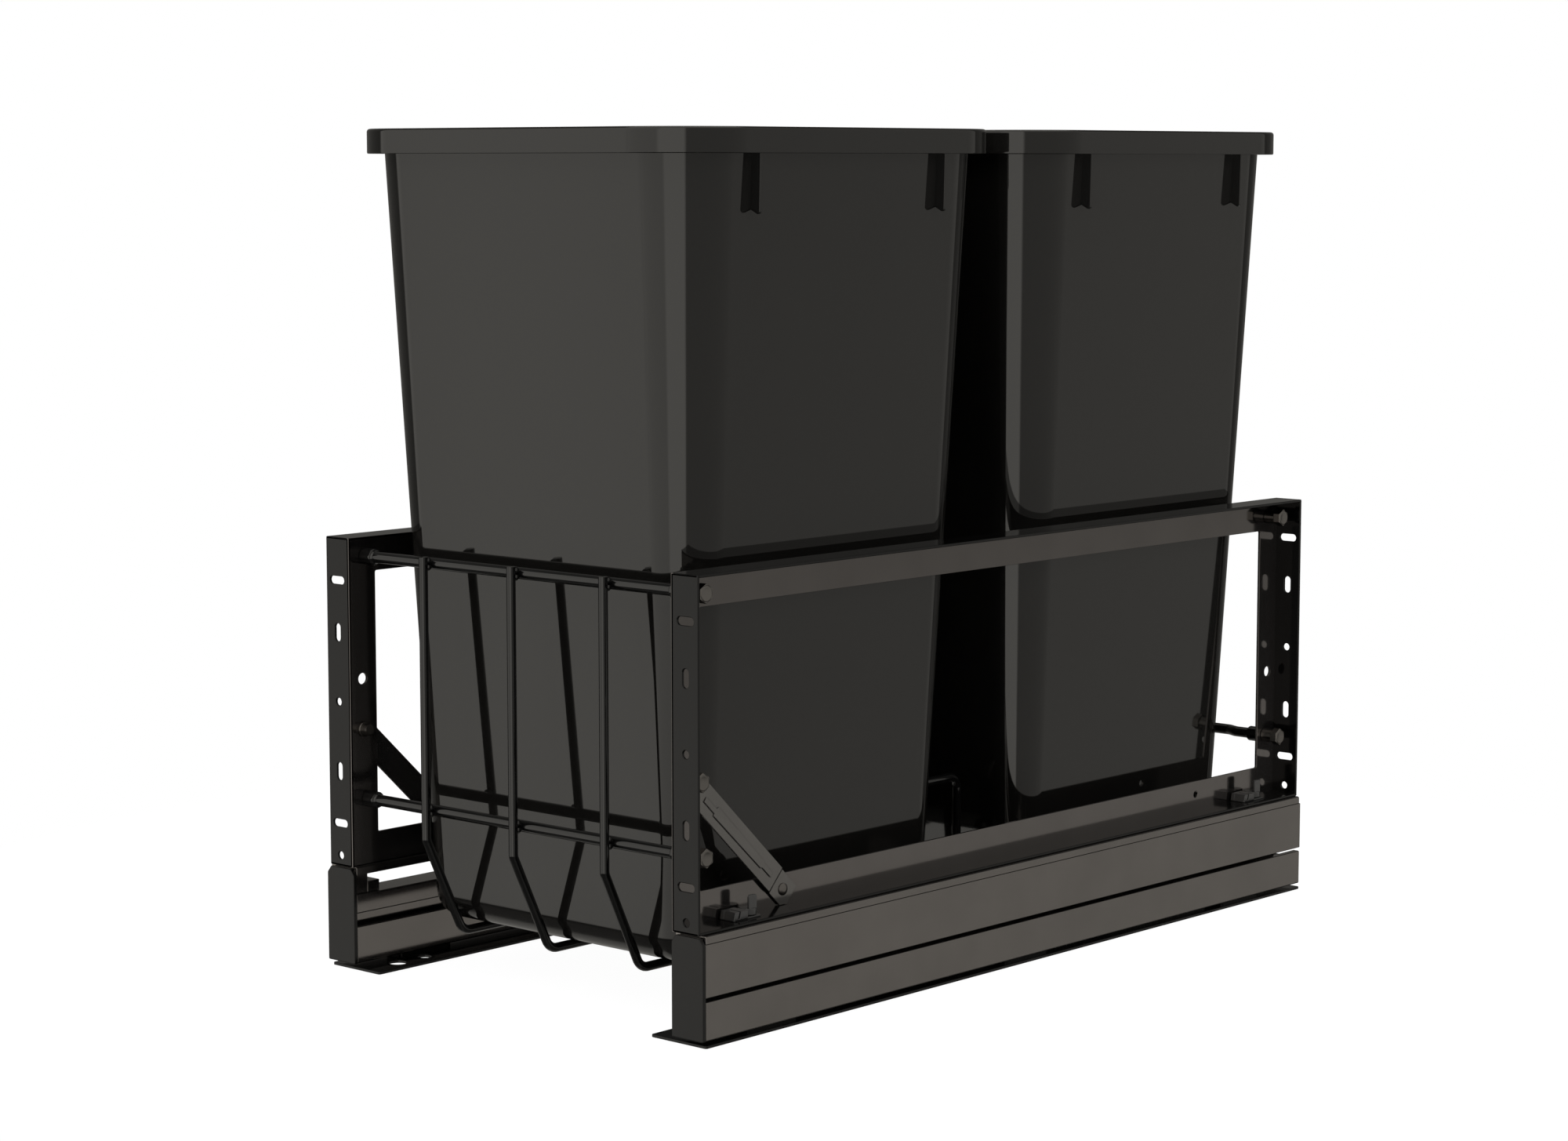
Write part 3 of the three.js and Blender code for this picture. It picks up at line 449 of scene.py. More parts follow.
def corner_arc(before: Vector, here: Vector, after: Vector, radius: float, steps: int) -> list[Vector]:
    """Round one corner of an outline or a path.

    Args:
        before: the point before the corner.
        here: the corner.
        after: the point after the corner.
        radius: radius of the arc, which shrinks where a side is too short for it.
        steps: segments of the arc.

    Returns:
        The points of the arc, or the corner itself where no radius is left.
    """
    back, ahead = before - here, after - here
    half = back.angle(ahead) / 2
    reach = min(radius / math.tan(half), back.length * 0.48, ahead.length * 0.48)
    radius = reach * math.tan(half)
    if radius < 0.02:
        return [here]
    back.normalize()
    ahead.normalize()
    centre = here + (back + ahead).normalized() * (radius / math.sin(half))
    start, end = here + back * reach - centre, here + ahead * reach - centre
    sweep = start.angle(end)
    weights = [(math.sin(sweep - sweep * i / steps), math.sin(sweep * i / steps)) for i in range(steps + 1)]
    return [centre + (start * left + end * done) / math.sin(sweep) for left, done in weights]


def rounded(corners: Sequence[Point2], radii: float | Sequence[float], steps: int = 5) -> Loop:
    """Round the corners of a closed outline.

    Args:
        corners: corner points in order.
        radii: one radius for all corners, or one for each.
        steps: segments of each corner.

    Returns:
        The outline with its corners as arcs.
    """
    sizes = [radii] * len(corners) if isinstance(radii, (int, float)) else radii
    points = [Vector(corner) for corner in corners]
    loop: Loop = []
    for i, radius in enumerate(sizes):
        arc = corner_arc(points[i - 1], points[i], points[(i + 1) % len(points)], radius, steps)
        loop += [(point.x, point.y) for point in arc]
    return loop


def bent(corners: Sequence[Vector], radii: Sequence[float], steps: int = 9) -> list[Vector]:
    """Round the bends of a run of points.

    Args:
        corners: ends and bends in order.
        radii: bend radius at each inner corner.
        steps: segments of each bend.

    Returns:
        The run with each bend as an arc.
    """
    path = [corners[0]]
    for before, here, after, radius in zip(corners, corners[1:], corners[2:], radii):
        path += corner_arc(before, here, after, radius, steps)
    return [*path, corners[-1]]


def rectangle(x0: float, x1: float, y0: float, y1: float, radius: float) -> Loop:
    """Rectangle between two corners, with its own corners rounded."""
    return rounded([(x0, y0), (x1, y0), (x1, y1), (x0, y1)], radius)


# --- mesh makers, in millimetres
def finished(form: bmesh.types.BMesh, name: str) -> Mesh:
    """Write a form to a new mesh and free it.

    Args:
        form: the form.
        name: name of the mesh.

    Returns:
        The mesh.
    """
    mesh = bpy.data.meshes.new(name)
    form.to_mesh(mesh)
    form.free()
    return mesh


def swept(curve: bpy.types.Curve, runs: Iterable[Sequence[Sequence[float]]], closed: bool) -> Mesh:
    """Lay runs of points in a curve and turn it into a mesh.

    Args:
        curve: curve with its bevel set, which is dropped afterwards.
        runs: runs of points in space.
        closed: whether each run ends where it starts.

    Returns:
        The mesh.
    """
    for run in runs:
        spline = curve.splines.new("POLY")
        spline.points.add(len(run) - 1)
        for target, point in zip(spline.points, run):
            target.co = (*point, 1.0)
        spline.use_cyclic_u = closed
    holder = bpy.data.objects.new(curve.name, curve)
    bpy.context.scene.collection.objects.link(holder)
    mesh = bpy.data.meshes.new_from_object(holder.evaluated_get(bpy.context.evaluated_depsgraph_get()))
    bpy.data.objects.remove(holder)
    bpy.data.curves.remove(curve)
    return mesh


def prism(
    outline: Loop,
    low: float,
    high: float,
    axis: Axis | Matrix,
    edge: float,
    holes: Sequence[Loop] = (),
    steps: int = 2,
) -> Mesh:
    """Draw an outline out into a plate or bar with rounded edges.

    Args:
        outline: outer loop.
        low: lower end along the axis.
        high: upper end along the axis.
        axis: direction of drawing, or a matrix from the local frame of the outline.
        edge: radius of the rounded edges.
        holes: loops cut through the piece.
        steps: resolution of the rounding.

    Returns:
        A closed mesh.
    """
    curve = bpy.data.curves.new("outline", "CURVE")
    curve.dimensions, curve.fill_mode = "2D", "BOTH"
    curve.extrude = max((high - low) / 2 - edge, 1e-4)
    curve.bevel_depth, curve.offset, curve.bevel_resolution = edge, -edge, steps
    mesh = swept(curve, ([(x, y, 0.0) for x, y in loop] for loop in (outline, *holes)), True)
    middle = (low + high) / 2
    if isinstance(axis, Matrix):
        mesh.transform(axis @ Matrix.Translation((0, 0, middle)))
    else:
        mesh.transform(axis.matrix() @ Matrix.Translation((0, 0, -middle if axis is Axis.Y else middle)))
    return mesh


def tube(points: Sequence[Vector], diameter: float, sides: int = 8) -> Mesh:
    """Round bar along a run of points, closed at both ends.

    Args:
        points: centre line.
        diameter: diameter of the bar.
        sides: resolution of the section.

    Returns:
        A closed mesh.
    """
    curve = bpy.data.curves.new("bar", "CURVE")
    curve.dimensions = "3D"
    curve.bevel_depth, curve.bevel_resolution, curve.use_fill_caps = diameter / 2, sides, True
    return swept(curve, [points], False)


def skin(rings: Sequence[Sequence[Vector]], cap_start: bool = True, cap_end: bool = True) -> Mesh:
    """Surface through rings of equally many points.

    Args:
        rings: rings in order.
        cap_start: close the first ring with a face.
        cap_end: close the last ring with a face.

    Returns:
        The mesh.
    """
    form = bmesh.new()
    rows = [[form.verts.new(point) for point in ring] for ring in rings]
    count = len(rows[0])
    for row, after in zip(rows, rows[1:]):
        for i in range(count):
            j = (i + 1) % count
            form.faces.new((row[i], row[j], after[j], after[i]))
    if cap_start:
        form.faces.new(list(reversed(rows[0])))
    if cap_end:
        form.faces.new(rows[-1])
    return finished(form, "skin")


def turned(
    profile: Sequence[Point2], axis: Axis, centre: Sequence[float], sides: int = 36, ring: bool = False
) -> Mesh:
    """Turn a profile about an axis.

    Args:
        profile: pairs of distance along the axis and radius.
        axis: direction of the axis.
        centre: point on the axis from which distances are taken.
        sides: segments round the axis.
        ring: whether the profile closes on itself, and its two ends don't get a face.

    Returns:
        A closed mesh.
    """
    rings = []
    for along, radius in profile:
        points = circle(0.0, 0.0, radius, sides)
        if axis is Axis.X:
            offsets = [(along, a, b) for a, b in points]
        else:
            offsets = [(a, b, along) for a, b in points]
        rings.append([Vector(centre) + Vector(offset) for offset in offsets])
    return skin([*rings, rings[0]], False, False) if ring else skin(rings)


# --- placing pieces
@dataclass
class Piece:
    """One visible piece that stands for a CAD node and rides on its body."""

    node: str
    finish: Finish
    side: Side = Side.RIGHT
    accent: Finish | None = None

    def place(self, meshes: Sequence[Mesh], accents: Sequence[Mesh] = ()) -> None:
        """Join meshes drawn in millimetres for the right-hand side, place them on their body and hide the
        CAD node.

        Args:
            meshes: parts of the piece in its main finish.
            accents: parts of the piece in its second finish.
        """
        form = bmesh.new()
        for index, parts in enumerate((meshes, accents)):
            for part in parts:
                before = len(form.faces)
                form.from_mesh(part)
                form.faces.ensure_lookup_table()
                for face in form.faces[before:]:
                    face.material_index = index
                bpy.data.meshes.remove(part)
        bmesh.ops.remove_doubles(form, verts=form.verts, dist=MERGE_DISTANCE)
        bmesh.ops.recalc_face_normals(form, faces=form.faces)
        bmesh.ops.scale(form, vec=(self.side.value * MM, MM, MM), verts=form.verts)
        bmesh.ops.translate(form, vec=(0, FRONT_Y, 0), verts=form.verts)
        if self.side is Side.LEFT:
            bmesh.ops.reverse_faces(form, faces=form.faces)
        mesh = finished(form, self.node + "_look")
        mesh.shade_smooth()
        mesh.set_sharp_from_angle(angle=SHARP_ANGLE)
        for finish in filter(None, (self.finish, self.accent)):
            mesh.materials.append(finish.material())
        piece = bpy.data.objects.new(self.node + "_look", mesh)
        bpy.context.scene.collection.objects.link(piece)
        piece.modifiers.new("weighting", "WEIGHTED_NORMAL").keep_sharp = True
        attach(piece, BODY_OF[self.node])
        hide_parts(self.node)
        count = len(mesh.polygons)
        LOG.info("%s: %d faces, %s, on %s", piece.name, count, self.finish.name, BODY_OF[self.node])


def dress(node: str, finish: Finish) -> None:
    """Give a CAD node that stays in view its finish.

    Args:
        node: name of the node.
        finish: the finish.
    """
    for place in frame["nodes"][node].material_slots:
        place.material = finish.material()
    LOG.info("%s: kept from the frame, %s", node, finish.name)


@dataclass
class Sided:
    """Sub-assembly that the unit has on each side."""

    side: Side

    def put(self, name: str, finish: Finish, meshes: Sequence[Mesh]) -> None:
        """Place a piece of this side by its name without the side."""
        Piece(f"{name}_{self.side.suffix}", finish, self.side).place(meshes)


# --- bins
@dataclass
class Bin:
    """Lift-out bin: tapered shell, turned-down rim with a rolled edge, and fins under the rim."""

    node: str
    front: float
    length: float = 274.9
    half: float = 138.0
    bottom: float = 29.6
    top: float = 483.0
    corner: float = 46.0
    rim_height: float = 14.0
    rim_inset: float = 9.2
    wall: float = 2.5
    draft: float = 0.053
    corner_draft: float = 0.04
    bottom_radius: float = 16.0
    dish: float = 1.2
    dish_start: float = 28.0
    dish_end: float = 32.0
    outer_lip: float = 1.8
    inner_lip: float = 1.6
    fin_offset: float = 76.7
    fin_drop: float = 31.0
    fin_half: float = 1.0
    fin_sunk: float = 0.8
    corner_steps: int = 18
    bottom_steps: int = 10

    def _ring(self, inward: float, radius: float, z: float) -> list[Vector]:
        """Level ring with round corners.

        Args:
            inward: distance by which the ring is drawn in from the rim's outline.
            radius: radius of its corners.
            z: its height.

        Returns:
            The ring's points.
        """
        radius = max(radius, 0.5)
        x = self.half - inward - radius
        near, far = self.front + inward + radius, self.front + self.length - inward - radius
        ring = []
        for turn, (middle_x, middle_y) in enumerate(((x, far), (-x, far), (-x, near), (x, near))):
            for step in range(self.corner_steps + 1):
                angle = (turn + step / self.corner_steps) * math.pi / 2
                x_at, y_at = middle_x + radius * math.cos(angle), middle_y + radius * math.sin(angle)
                ring.append(Vector((x_at, y_at, z)))
        return ring

    def _body(self, z: float, inset: float = 0.0) -> list[Vector]:
        """Ring of the tapering body.

        Args:
            z: its height.
            inset: distance inward from the outer face.

        Returns:
            The ring's points.
        """
        drop = self.top - z
        radius = self.corner - self.rim_inset - self.corner_draft * drop - inset
        return self._ring(self.rim_inset + self.draft * drop + inset, radius, z)

    def shell(self) -> Mesh:
        """Shell from the middle of the underside, up the outside, over the rim and down the inside.

        Returns:
            A closed mesh.
        """
        low, wall, bend = self.bottom, self.wall, self.bottom_radius
        height, inner_bend = self.top - low, self.bottom_radius - self.wall
        foot = quarter(self.bottom_steps)
        rings = [self._body(low + self.dish, self.dish_end), self._body(low, self.dish_start)]
        rings += [self._body(low + bend * rise, bend * draw) for rise, draw in foot]
        rings += [self._body(low + height * share) for share in (0.25, 0.5, 0.75)]
        skirt, under = self.top - self.rim_height, self.top - wall
        rings += [self._body(under - 1.6), self._body(under - 0.4, -0.4), self._body(under, -1.6)]
        rim = [(under, wall + 0.8), (under - 0.8, wall), (skirt + 0.7, wall), (skirt + 0.1, wall - 0.35)]
        rim += [(skirt, wall - 0.9), (skirt, 0.75), (skirt + 0.2, 0.2), (skirt + 0.75, 0.0)]
        rim += [(self.top - self.outer_lip * draw, self.outer_lip * rise) for rise, draw in quarter(5)]
        rings += [self._ring(inset, self.corner - inset, z) for z, inset in rim]
        lip = self.inner_lip
        rings += [self._body(self.top - lip * rise, wall - lip * draw) for rise, draw in quarter(4)]
        rings += [self._body(low + height * share, wall) for share in (0.75, 0.5, 0.25)]
        for rise, draw in reversed(foot):
            rings.append(self._body(low + wall + inner_bend * rise, wall + inner_bend * draw))
        low += wall
        return skin([*rings, self._body(low, self.dish_start), self._body(low + self.dish, self.dish_end)])

    def fins(self) -> list[Mesh]:
        """Upright fins between the body and the skirt of the rim.

        Returns:
            Four meshes.
        """
        top, skirt = self.top - self.wall + 0.3, self.top - self.rim_height
        foot, reach = skirt - self.fin_drop, self.half - self.wall + 0.4

        def root(z: float) -> float:
            """Place of the fin's root, sunk a little into the body."""
            return self.half - self.rim_inset - self.draft * (self.top - z) - self.fin_sunk

        corners = [
            (root(top), top), (root(foot), foot + 2), (reach - 4, foot - 1.2), (reach - 2.4, foot),
            (reach - 1.6, skirt + 0.5), (reach, skirt + 0.5), (reach, top),
        ]
        made = []
        for side in (1, -1):
            for end in (1, -1):
                y = self.front + self.length / 2 + end * self.fin_offset
                loop = rounded([(side * x, z) for x, z in corners], (0.1, 0.5, 1.0, 0.8, 0.4, 0.1, 0.1), 4)
                made.append(prism(loop, y - self.fin_half, y + self.fin_half, Axis.Y, 0.35))
        return made

    def build(self) -> None:
        """Place the bin."""
        Piece(self.node, BIN_PLASTIC).place([self.shell(), *self.fins()])


# --- side frames and what is fixed to them
@dataclass
class SideFrame(Sided):
    """Pressed side frame: a web with a window, and flanges turned out all round."""

    inner: float = 127.1
    high: float = 251.4
    flange: float = 19.3
    top_rail: float = 20.0
    upright: float = 20.0
    band: float = 18.8
    edge: float = 0.45
    corner: float = 0.7
    hole_inset: float = 9.0
    hole_width: float = 4.6
    level_length: float = 12.0
    upright_length: float = 10.5
    web_holes: tuple[tuple[float, float, float], ...] = (
        *((y, z, 6.6) for y in BOLT_Y.values() for z in BOLT_Z.values()),
        (*BRACE_TOP, 6.6), (550.4, 140.4, 6.6), (9.6, 169.6, 6.6), (*BRACE_FOOT, 4.2), (473.0, 70.8, 4.2),
    )
    round_holes: tuple[float, ...] = (66.5, 156.2)
    level_slots: tuple[float, ...] = (85.4, 226.6)
    upright_slots: tuple[float, ...] = (115.7, 196.4)

    def web(self) -> Mesh:
        """Web with its window and round holes.

        Returns:
            The mesh.
        """
        y0, y1 = self.upright, FRAME_DEPTH - self.upright
        window = rectangle(y0, y1, FRAME_LOW + self.band, self.high - self.top_rail, 1.2)
        holes = [window] + [circle(y, z, size / 2) for y, z, size in self.web_holes]
        outline = rectangle(0.0, FRAME_DEPTH, FRAME_LOW, self.high, 0.3)
        return prism(outline, self.inner, self.inner + SHEET, Axis.X, 0.22, holes)

    def upright_flange(self, start: float) -> Mesh:
        """Front or rear flange with its row of holes.

        Args:
            start: its foremost face.

        Returns:
            The mesh.
        """
        x = self.inner + self.flange - self.hole_inset
        holes = [circle(x, z, self.hole_width / 2) for z in self.round_holes]
        holes += [slot(x, z, self.hole_width, self.level_length, False) for z in self.level_slots]
        holes += [slot(x, z, self.hole_width, self.upright_length, True) for z in self.upright_slots]
        outline = rectangle(self.inner, self.inner + self.flange, FRAME_LOW, self.high, self.corner)
        return prism(outline, start, start + SHEET, Axis.Y, self.edge, holes, 3)

    def level_flange(self, start: float) -> Mesh:
        """Top or bottom flange, from a height up."""
        outline = rectangle(self.inner, self.inner + self.flange, 0.0, FRAME_DEPTH, self.corner)
        return prism(outline, start, start + SHEET, Axis.Z, self.edge, (), 3)

    def build(self) -> None:
        """Place the frame."""
        flanges = [self.upright_flange(start) for start in (0.0, FRAME_DEPTH - SHEET)]
        flanges += [self.level_flange(start) for start in (FRAME_LOW, self.high - SHEET)]
        # Flanges take the shaded copy of the coat and the web takes the lit copy: painted shade and painted
        # sheen on one pressed part.
        piece = Piece(f"side_frame_{self.side.suffix}", FLANGE_COAT, self.side, LIT_WEB_COAT)
        piece.place(flanges, [self.web()])


@dataclass
class HexScrew(Sided):
    """Screw outside a web: spacer, and a hexagon head with a chamfered, slightly dished face."""

    y: float
    z: float
    face: float = 128.8
    spacer_diameter: float = 8.4
    spacer_length: float = 7.6
    across: float = 9.4
    height: float = 5.0
    shank: float = 5.0
    inside: float = 116.0

    def spacer(self, start: float, end: float) -> Mesh:
        """Round spacer with broken edges.

        Args:
            start: its inner end, from the centre plane.
            end: its outer end.

        Returns:
            The mesh.
        """
        r = self.spacer_diameter / 2
        profile = [(start, r - 0.4), (start + 0.3, r), (end - 0.3, r), (end, r - 0.3)]
        return turned(profile, Axis.X, (0.0, self.y, self.z))

    def head(self, start: float) -> list[Mesh]:
        """Hexagon head from a distance outward.

        Args:
            start: distance of the head's underside from the centre plane.

        Returns:
            The hexagon and its turned end.
        """
        angles = [math.radians(60 * i + 30) for i in range(6)]
        corner, r, end = self.across / math.sqrt(3), self.across / 2, start + self.height
        points = [(self.y + corner * math.cos(a), self.z + corner * math.sin(a)) for a in angles]
        hexagon = prism(rounded(points, 0.45, 3), start, end - 0.35, Axis.X, 0.3)
        crown = [
            (end - 1.0, r - 0.1), (end - 0.42, r - 0.15), (end - 0.1, r - 0.55),
            (end, r - 1.0), (end - 0.25, r - 1.7), (end - 0.3, 0.4),
        ]
        return [hexagon, turned(crown, Axis.X, (0.0, self.y, self.z))]

    def shaft(self, end: float) -> Mesh:
        """Shank through the web, with its thread as turned grooves.

        Args:
            end: its outer end, from the centre plane.

        Returns:
            The mesh.
        """
        profile: list[Point2] = [(self.inside, self.shank / 2 - 0.8)]
        along = self.inside + 0.6
        while along < end:
            profile += [(along, self.shank / 2), (along + 0.4, self.shank / 2 - 0.25)]
            along += 0.8
        profile.append((end, self.shank / 2))
        return turned(profile, Axis.X, (0.0, self.y, self.z), 20)

    def build(self, name: str) -> None:
        """Place the screw under a name."""
        top, shaft = self.face + self.spacer_length, self.shaft(self.face + 1)
        self.put(name, BOLT_STEEL, [shaft, self.spacer(self.face, top), *self.head(top)])


@dataclass
class Brace(Sided):
    """Flat brace with a bare raised panel, held by a stud at its top and a rivet at its foot."""

    top: Point2 = BRACE_TOP
    foot: Point2 = BRACE_FOOT
    web: float = 128.7
    back: float = 130.1
    thickness: float = 1.3
    width: float = 16.0
    overrun: float = 8.5
    bar_start: float = 3.0
    rivet_inside: float = 126.9
    tab: float = 16.3
    step: float = 1.5
    flange_face: float = 62.4
    front_face: float = 1.95

    def _frame(self) -> Matrix:
        """Frame of the brace.

        Returns:
            The matrix from (along, outward, across) of the brace to the unit.
        """
        run = Vector((0.0, self.foot[0] - self.top[0], self.foot[1] - self.top[1])).normalized()
        outward = Vector((1.0, 0.0, 0.0))
        matrix = Matrix((run, outward, run.cross(outward))).transposed().to_4x4()
        matrix.translation = (0.0, *self.top)
        return matrix

    def bar(self) -> list[Mesh]:
        """Bar with its step, and the round end at the stud, both cut clear of the flanges.

        Returns:
            The meshes of the bar.
        """
        end, front = math.dist(self.top, self.foot) + self.overrun, self.back + self.thickness
        bend = end - self.tab - self.step
        tab_back = self.web + 0.3
        profile = [
            (self.bar_start, self.back), (bend, self.back), (bend + self.step, tab_back), (end, tab_back),
            (end, tab_back + self.thickness), (bend + self.step, tab_back + self.thickness),
            (bend, front), (self.bar_start, front),
        ]
        outline = rounded(profile, (0.1, 0.8, 0.8, 0.3, 0.3, 1.2, 1.2, 0.1), 4)
        bar = prism(outline, -self.width / 2, self.width / 2, self._frame(), 0.3)
        disc = prism(circle(*self.top, self.width / 2, 48), self.back, front, Axis.X, 0.3)
        return [
            self._trim(bar, Vector((0, 0, 1)), self.flange_face),
            self._trim(disc, Vector((0, 1, 0)), self.front_face),
        ]

    @staticmethod
    def _trim(mesh: Mesh, normal: Vector, level: float) -> Mesh:
        """Cut away what lies below a level along a normal, and close the cut.

        Args:
            mesh: the mesh to cut.
            normal: direction that points to what is kept.
            level: distance of the cut from the origin.

        Returns:
            The same mesh.
        """
        form = bmesh.new()
        form.from_mesh(mesh)
        bmesh.ops.remove_doubles(form, verts=form.verts, dist=MERGE_DISTANCE)
        everything = form.verts[:] + form.edges[:] + form.faces[:]
        cut = bmesh.ops.bisect_plane(
            form, geom=everything, plane_co=normal * level, plane_no=normal, clear_inner=True
        )
        rim = [item for item in cut["geom_cut"] if isinstance(item, bmesh.types.BMEdge)]
        if rim:
            bmesh.ops.holes_fill(form, edges=rim, sides=0)
        form.to_mesh(mesh)
        form.free()
        return mesh

    def panel(self) -> Mesh:
        """Raised bare panel along the brace, wide in the middle and narrow at both ends.

        Returns:
            The mesh.
        """
        front = self.back + self.thickness
        outline = [
            (16.0, -2.3), (27.0, -2.3), (27.6, -3.6), (77.6, -2.8), (78.2, -1.9), (87.6, -1.9),
            (87.6, 1.5), (78.2, 1.5), (77.6, 2.2), (27.6, 2.8), (27.0, 1.2), (16.0, 1.2),
        ]
        turn = Matrix(((1, 0, 0, 0), (0, 0, 1, 0), (0, -1, 0, 0), (0, 0, 0, 1)))
        return prism(rounded(outline, 0.5, 3), front - 0.3, front + 0.7, self._frame() @ turn, 0.35)

    def build(self) -> None:
        """Place the brace, its stud and its rivet."""
        front = self.back + self.thickness
        self.put("brace", BRACE_COAT, [*self.bar(), self.panel()])
        screw = HexScrew(self.side, *self.top)
        head = screw.face + screw.spacer_length
        nut = [
            (120.9, 2.2), (121.2, 3.4), (125.3, 3.4), (125.4, 4.2), (125.7, 4.4), (126.8, 4.4), (127.0, 4.2),
        ]
        spacers = [screw.spacer(self.web + 0.1, self.back - 0.1), screw.spacer(front + 0.1, head)]
        nut_mesh = turned(nut, Axis.X, (0.0, *self.top))
        self.put("brace_stud", BOLT_STEEL, [nut_mesh, *spacers, *screw.head(head)])
        inside, outside = self.rivet_inside, self.web + 0.3 + self.thickness + 0.1
        dome = [
            (inside - 1.2, 1.0), (inside - 1.0, 2.6), (inside - 0.4, 3.4), (inside, 3.5), (127.0, 1.8),
            (outside - 0.1, 1.8), (outside, 3.5), (outside + 0.4, 3.4), (outside + 1.0, 2.5),
            (outside + 1.2, 1.0),
        ]
        self.put("brace_rivet", BOLT_STEEL, [turned(dome, Axis.X, (0.0, *self.foot), 32)])


@dataclass
class Clip(Sided):
    """Turn clip on a lower flange: a slotted block with a sole, and a round head with a thumb tab."""

    place_name: str
    start: float
    inner: float = 130.2
    width: float = 10.4
    floor: float = 62.0
    height: float = 5.0
    length: float = 22.0
    block: float = 11.4
    slot_width: float = 1.2
    tab_half: float = 3.1
    tab_height: float = 7.4

    @property
    def pin(self) -> Point2:
        """Centre of the pin, as (X, Y)."""
        return self.inner + self.width / 2, self.start + (self.block + self.length) / 2

    def body(self) -> list[Mesh]:
        """Block with its grip slot, sole and pin.

        Returns:
            The meshes of the fixed half.
        """
        y, z, w = self.start, self.floor, self.slot_width
        end, top = y + self.block, z + self.height
        outline = [
            (y, z), (end, z), (end, top), (y + 5.0 * w, top), (y + 4.0 * w, z + 1.0),
            (y + 3.0 * w, z + 1.0), (y + 4.0 * w, top), (y + w, top),
        ]
        lug = [(y, z), (end, z), (end, top), (y + w, top)]
        x0, x1 = self.inner, self.inner + self.width
        pin = [(z + 0.5, 1.5), (top - 0.9, 1.5), (top - 0.6, 1.2)]
        return [
            prism(rounded(outline, 0.35, 3), x0 + 2 * w, x1, Axis.X, 0.3),
            prism(rounded(lug, 0.35, 3), x0, x0 + 2 * w + 0.3, Axis.X, 0.3),
            prism(rectangle(x0, x1, y, y + self.length, 1.2), z, z + 1.0, Axis.Z, 0.25),
            turned(pin, Axis.Z, (*self.pin, 0.0), 24),
        ]

    def turn(self) -> list[Mesh]:
        """Round head with its thumb tab.

        Returns:
            The meshes of the turning half.
        """
        x, y = self.pin
        low, high = self.floor + 1.3, self.floor + self.height
        radius = (self.length - self.block - 0.9) / 2
        head = prism(circle(x, y, radius, 40), low, high, Axis.Z, 0.4, (), 3)
        right, y0, y1 = x + radius - 0.9, y - self.tab_half, y + self.tab_half
        z0, z1 = high - 0.6, high + self.tab_height
        tab = rounded([(y0, z0), (y1, z0), (y1, z1), (y0, z1)], (0.1, 0.1, 1.6, 1.6), 5)
        return [head, prism(tab, right - 1.6, right, Axis.X, 0.4, (), 3)]

    def build(self) -> None:
        """Place both halves."""
        self.put(f"{self.place_name}_clip_body", CLIP_PLASTIC, self.body())
        self.put(f"{self.place_name}_clip_turn", CLIP_PLASTIC, self.turn())


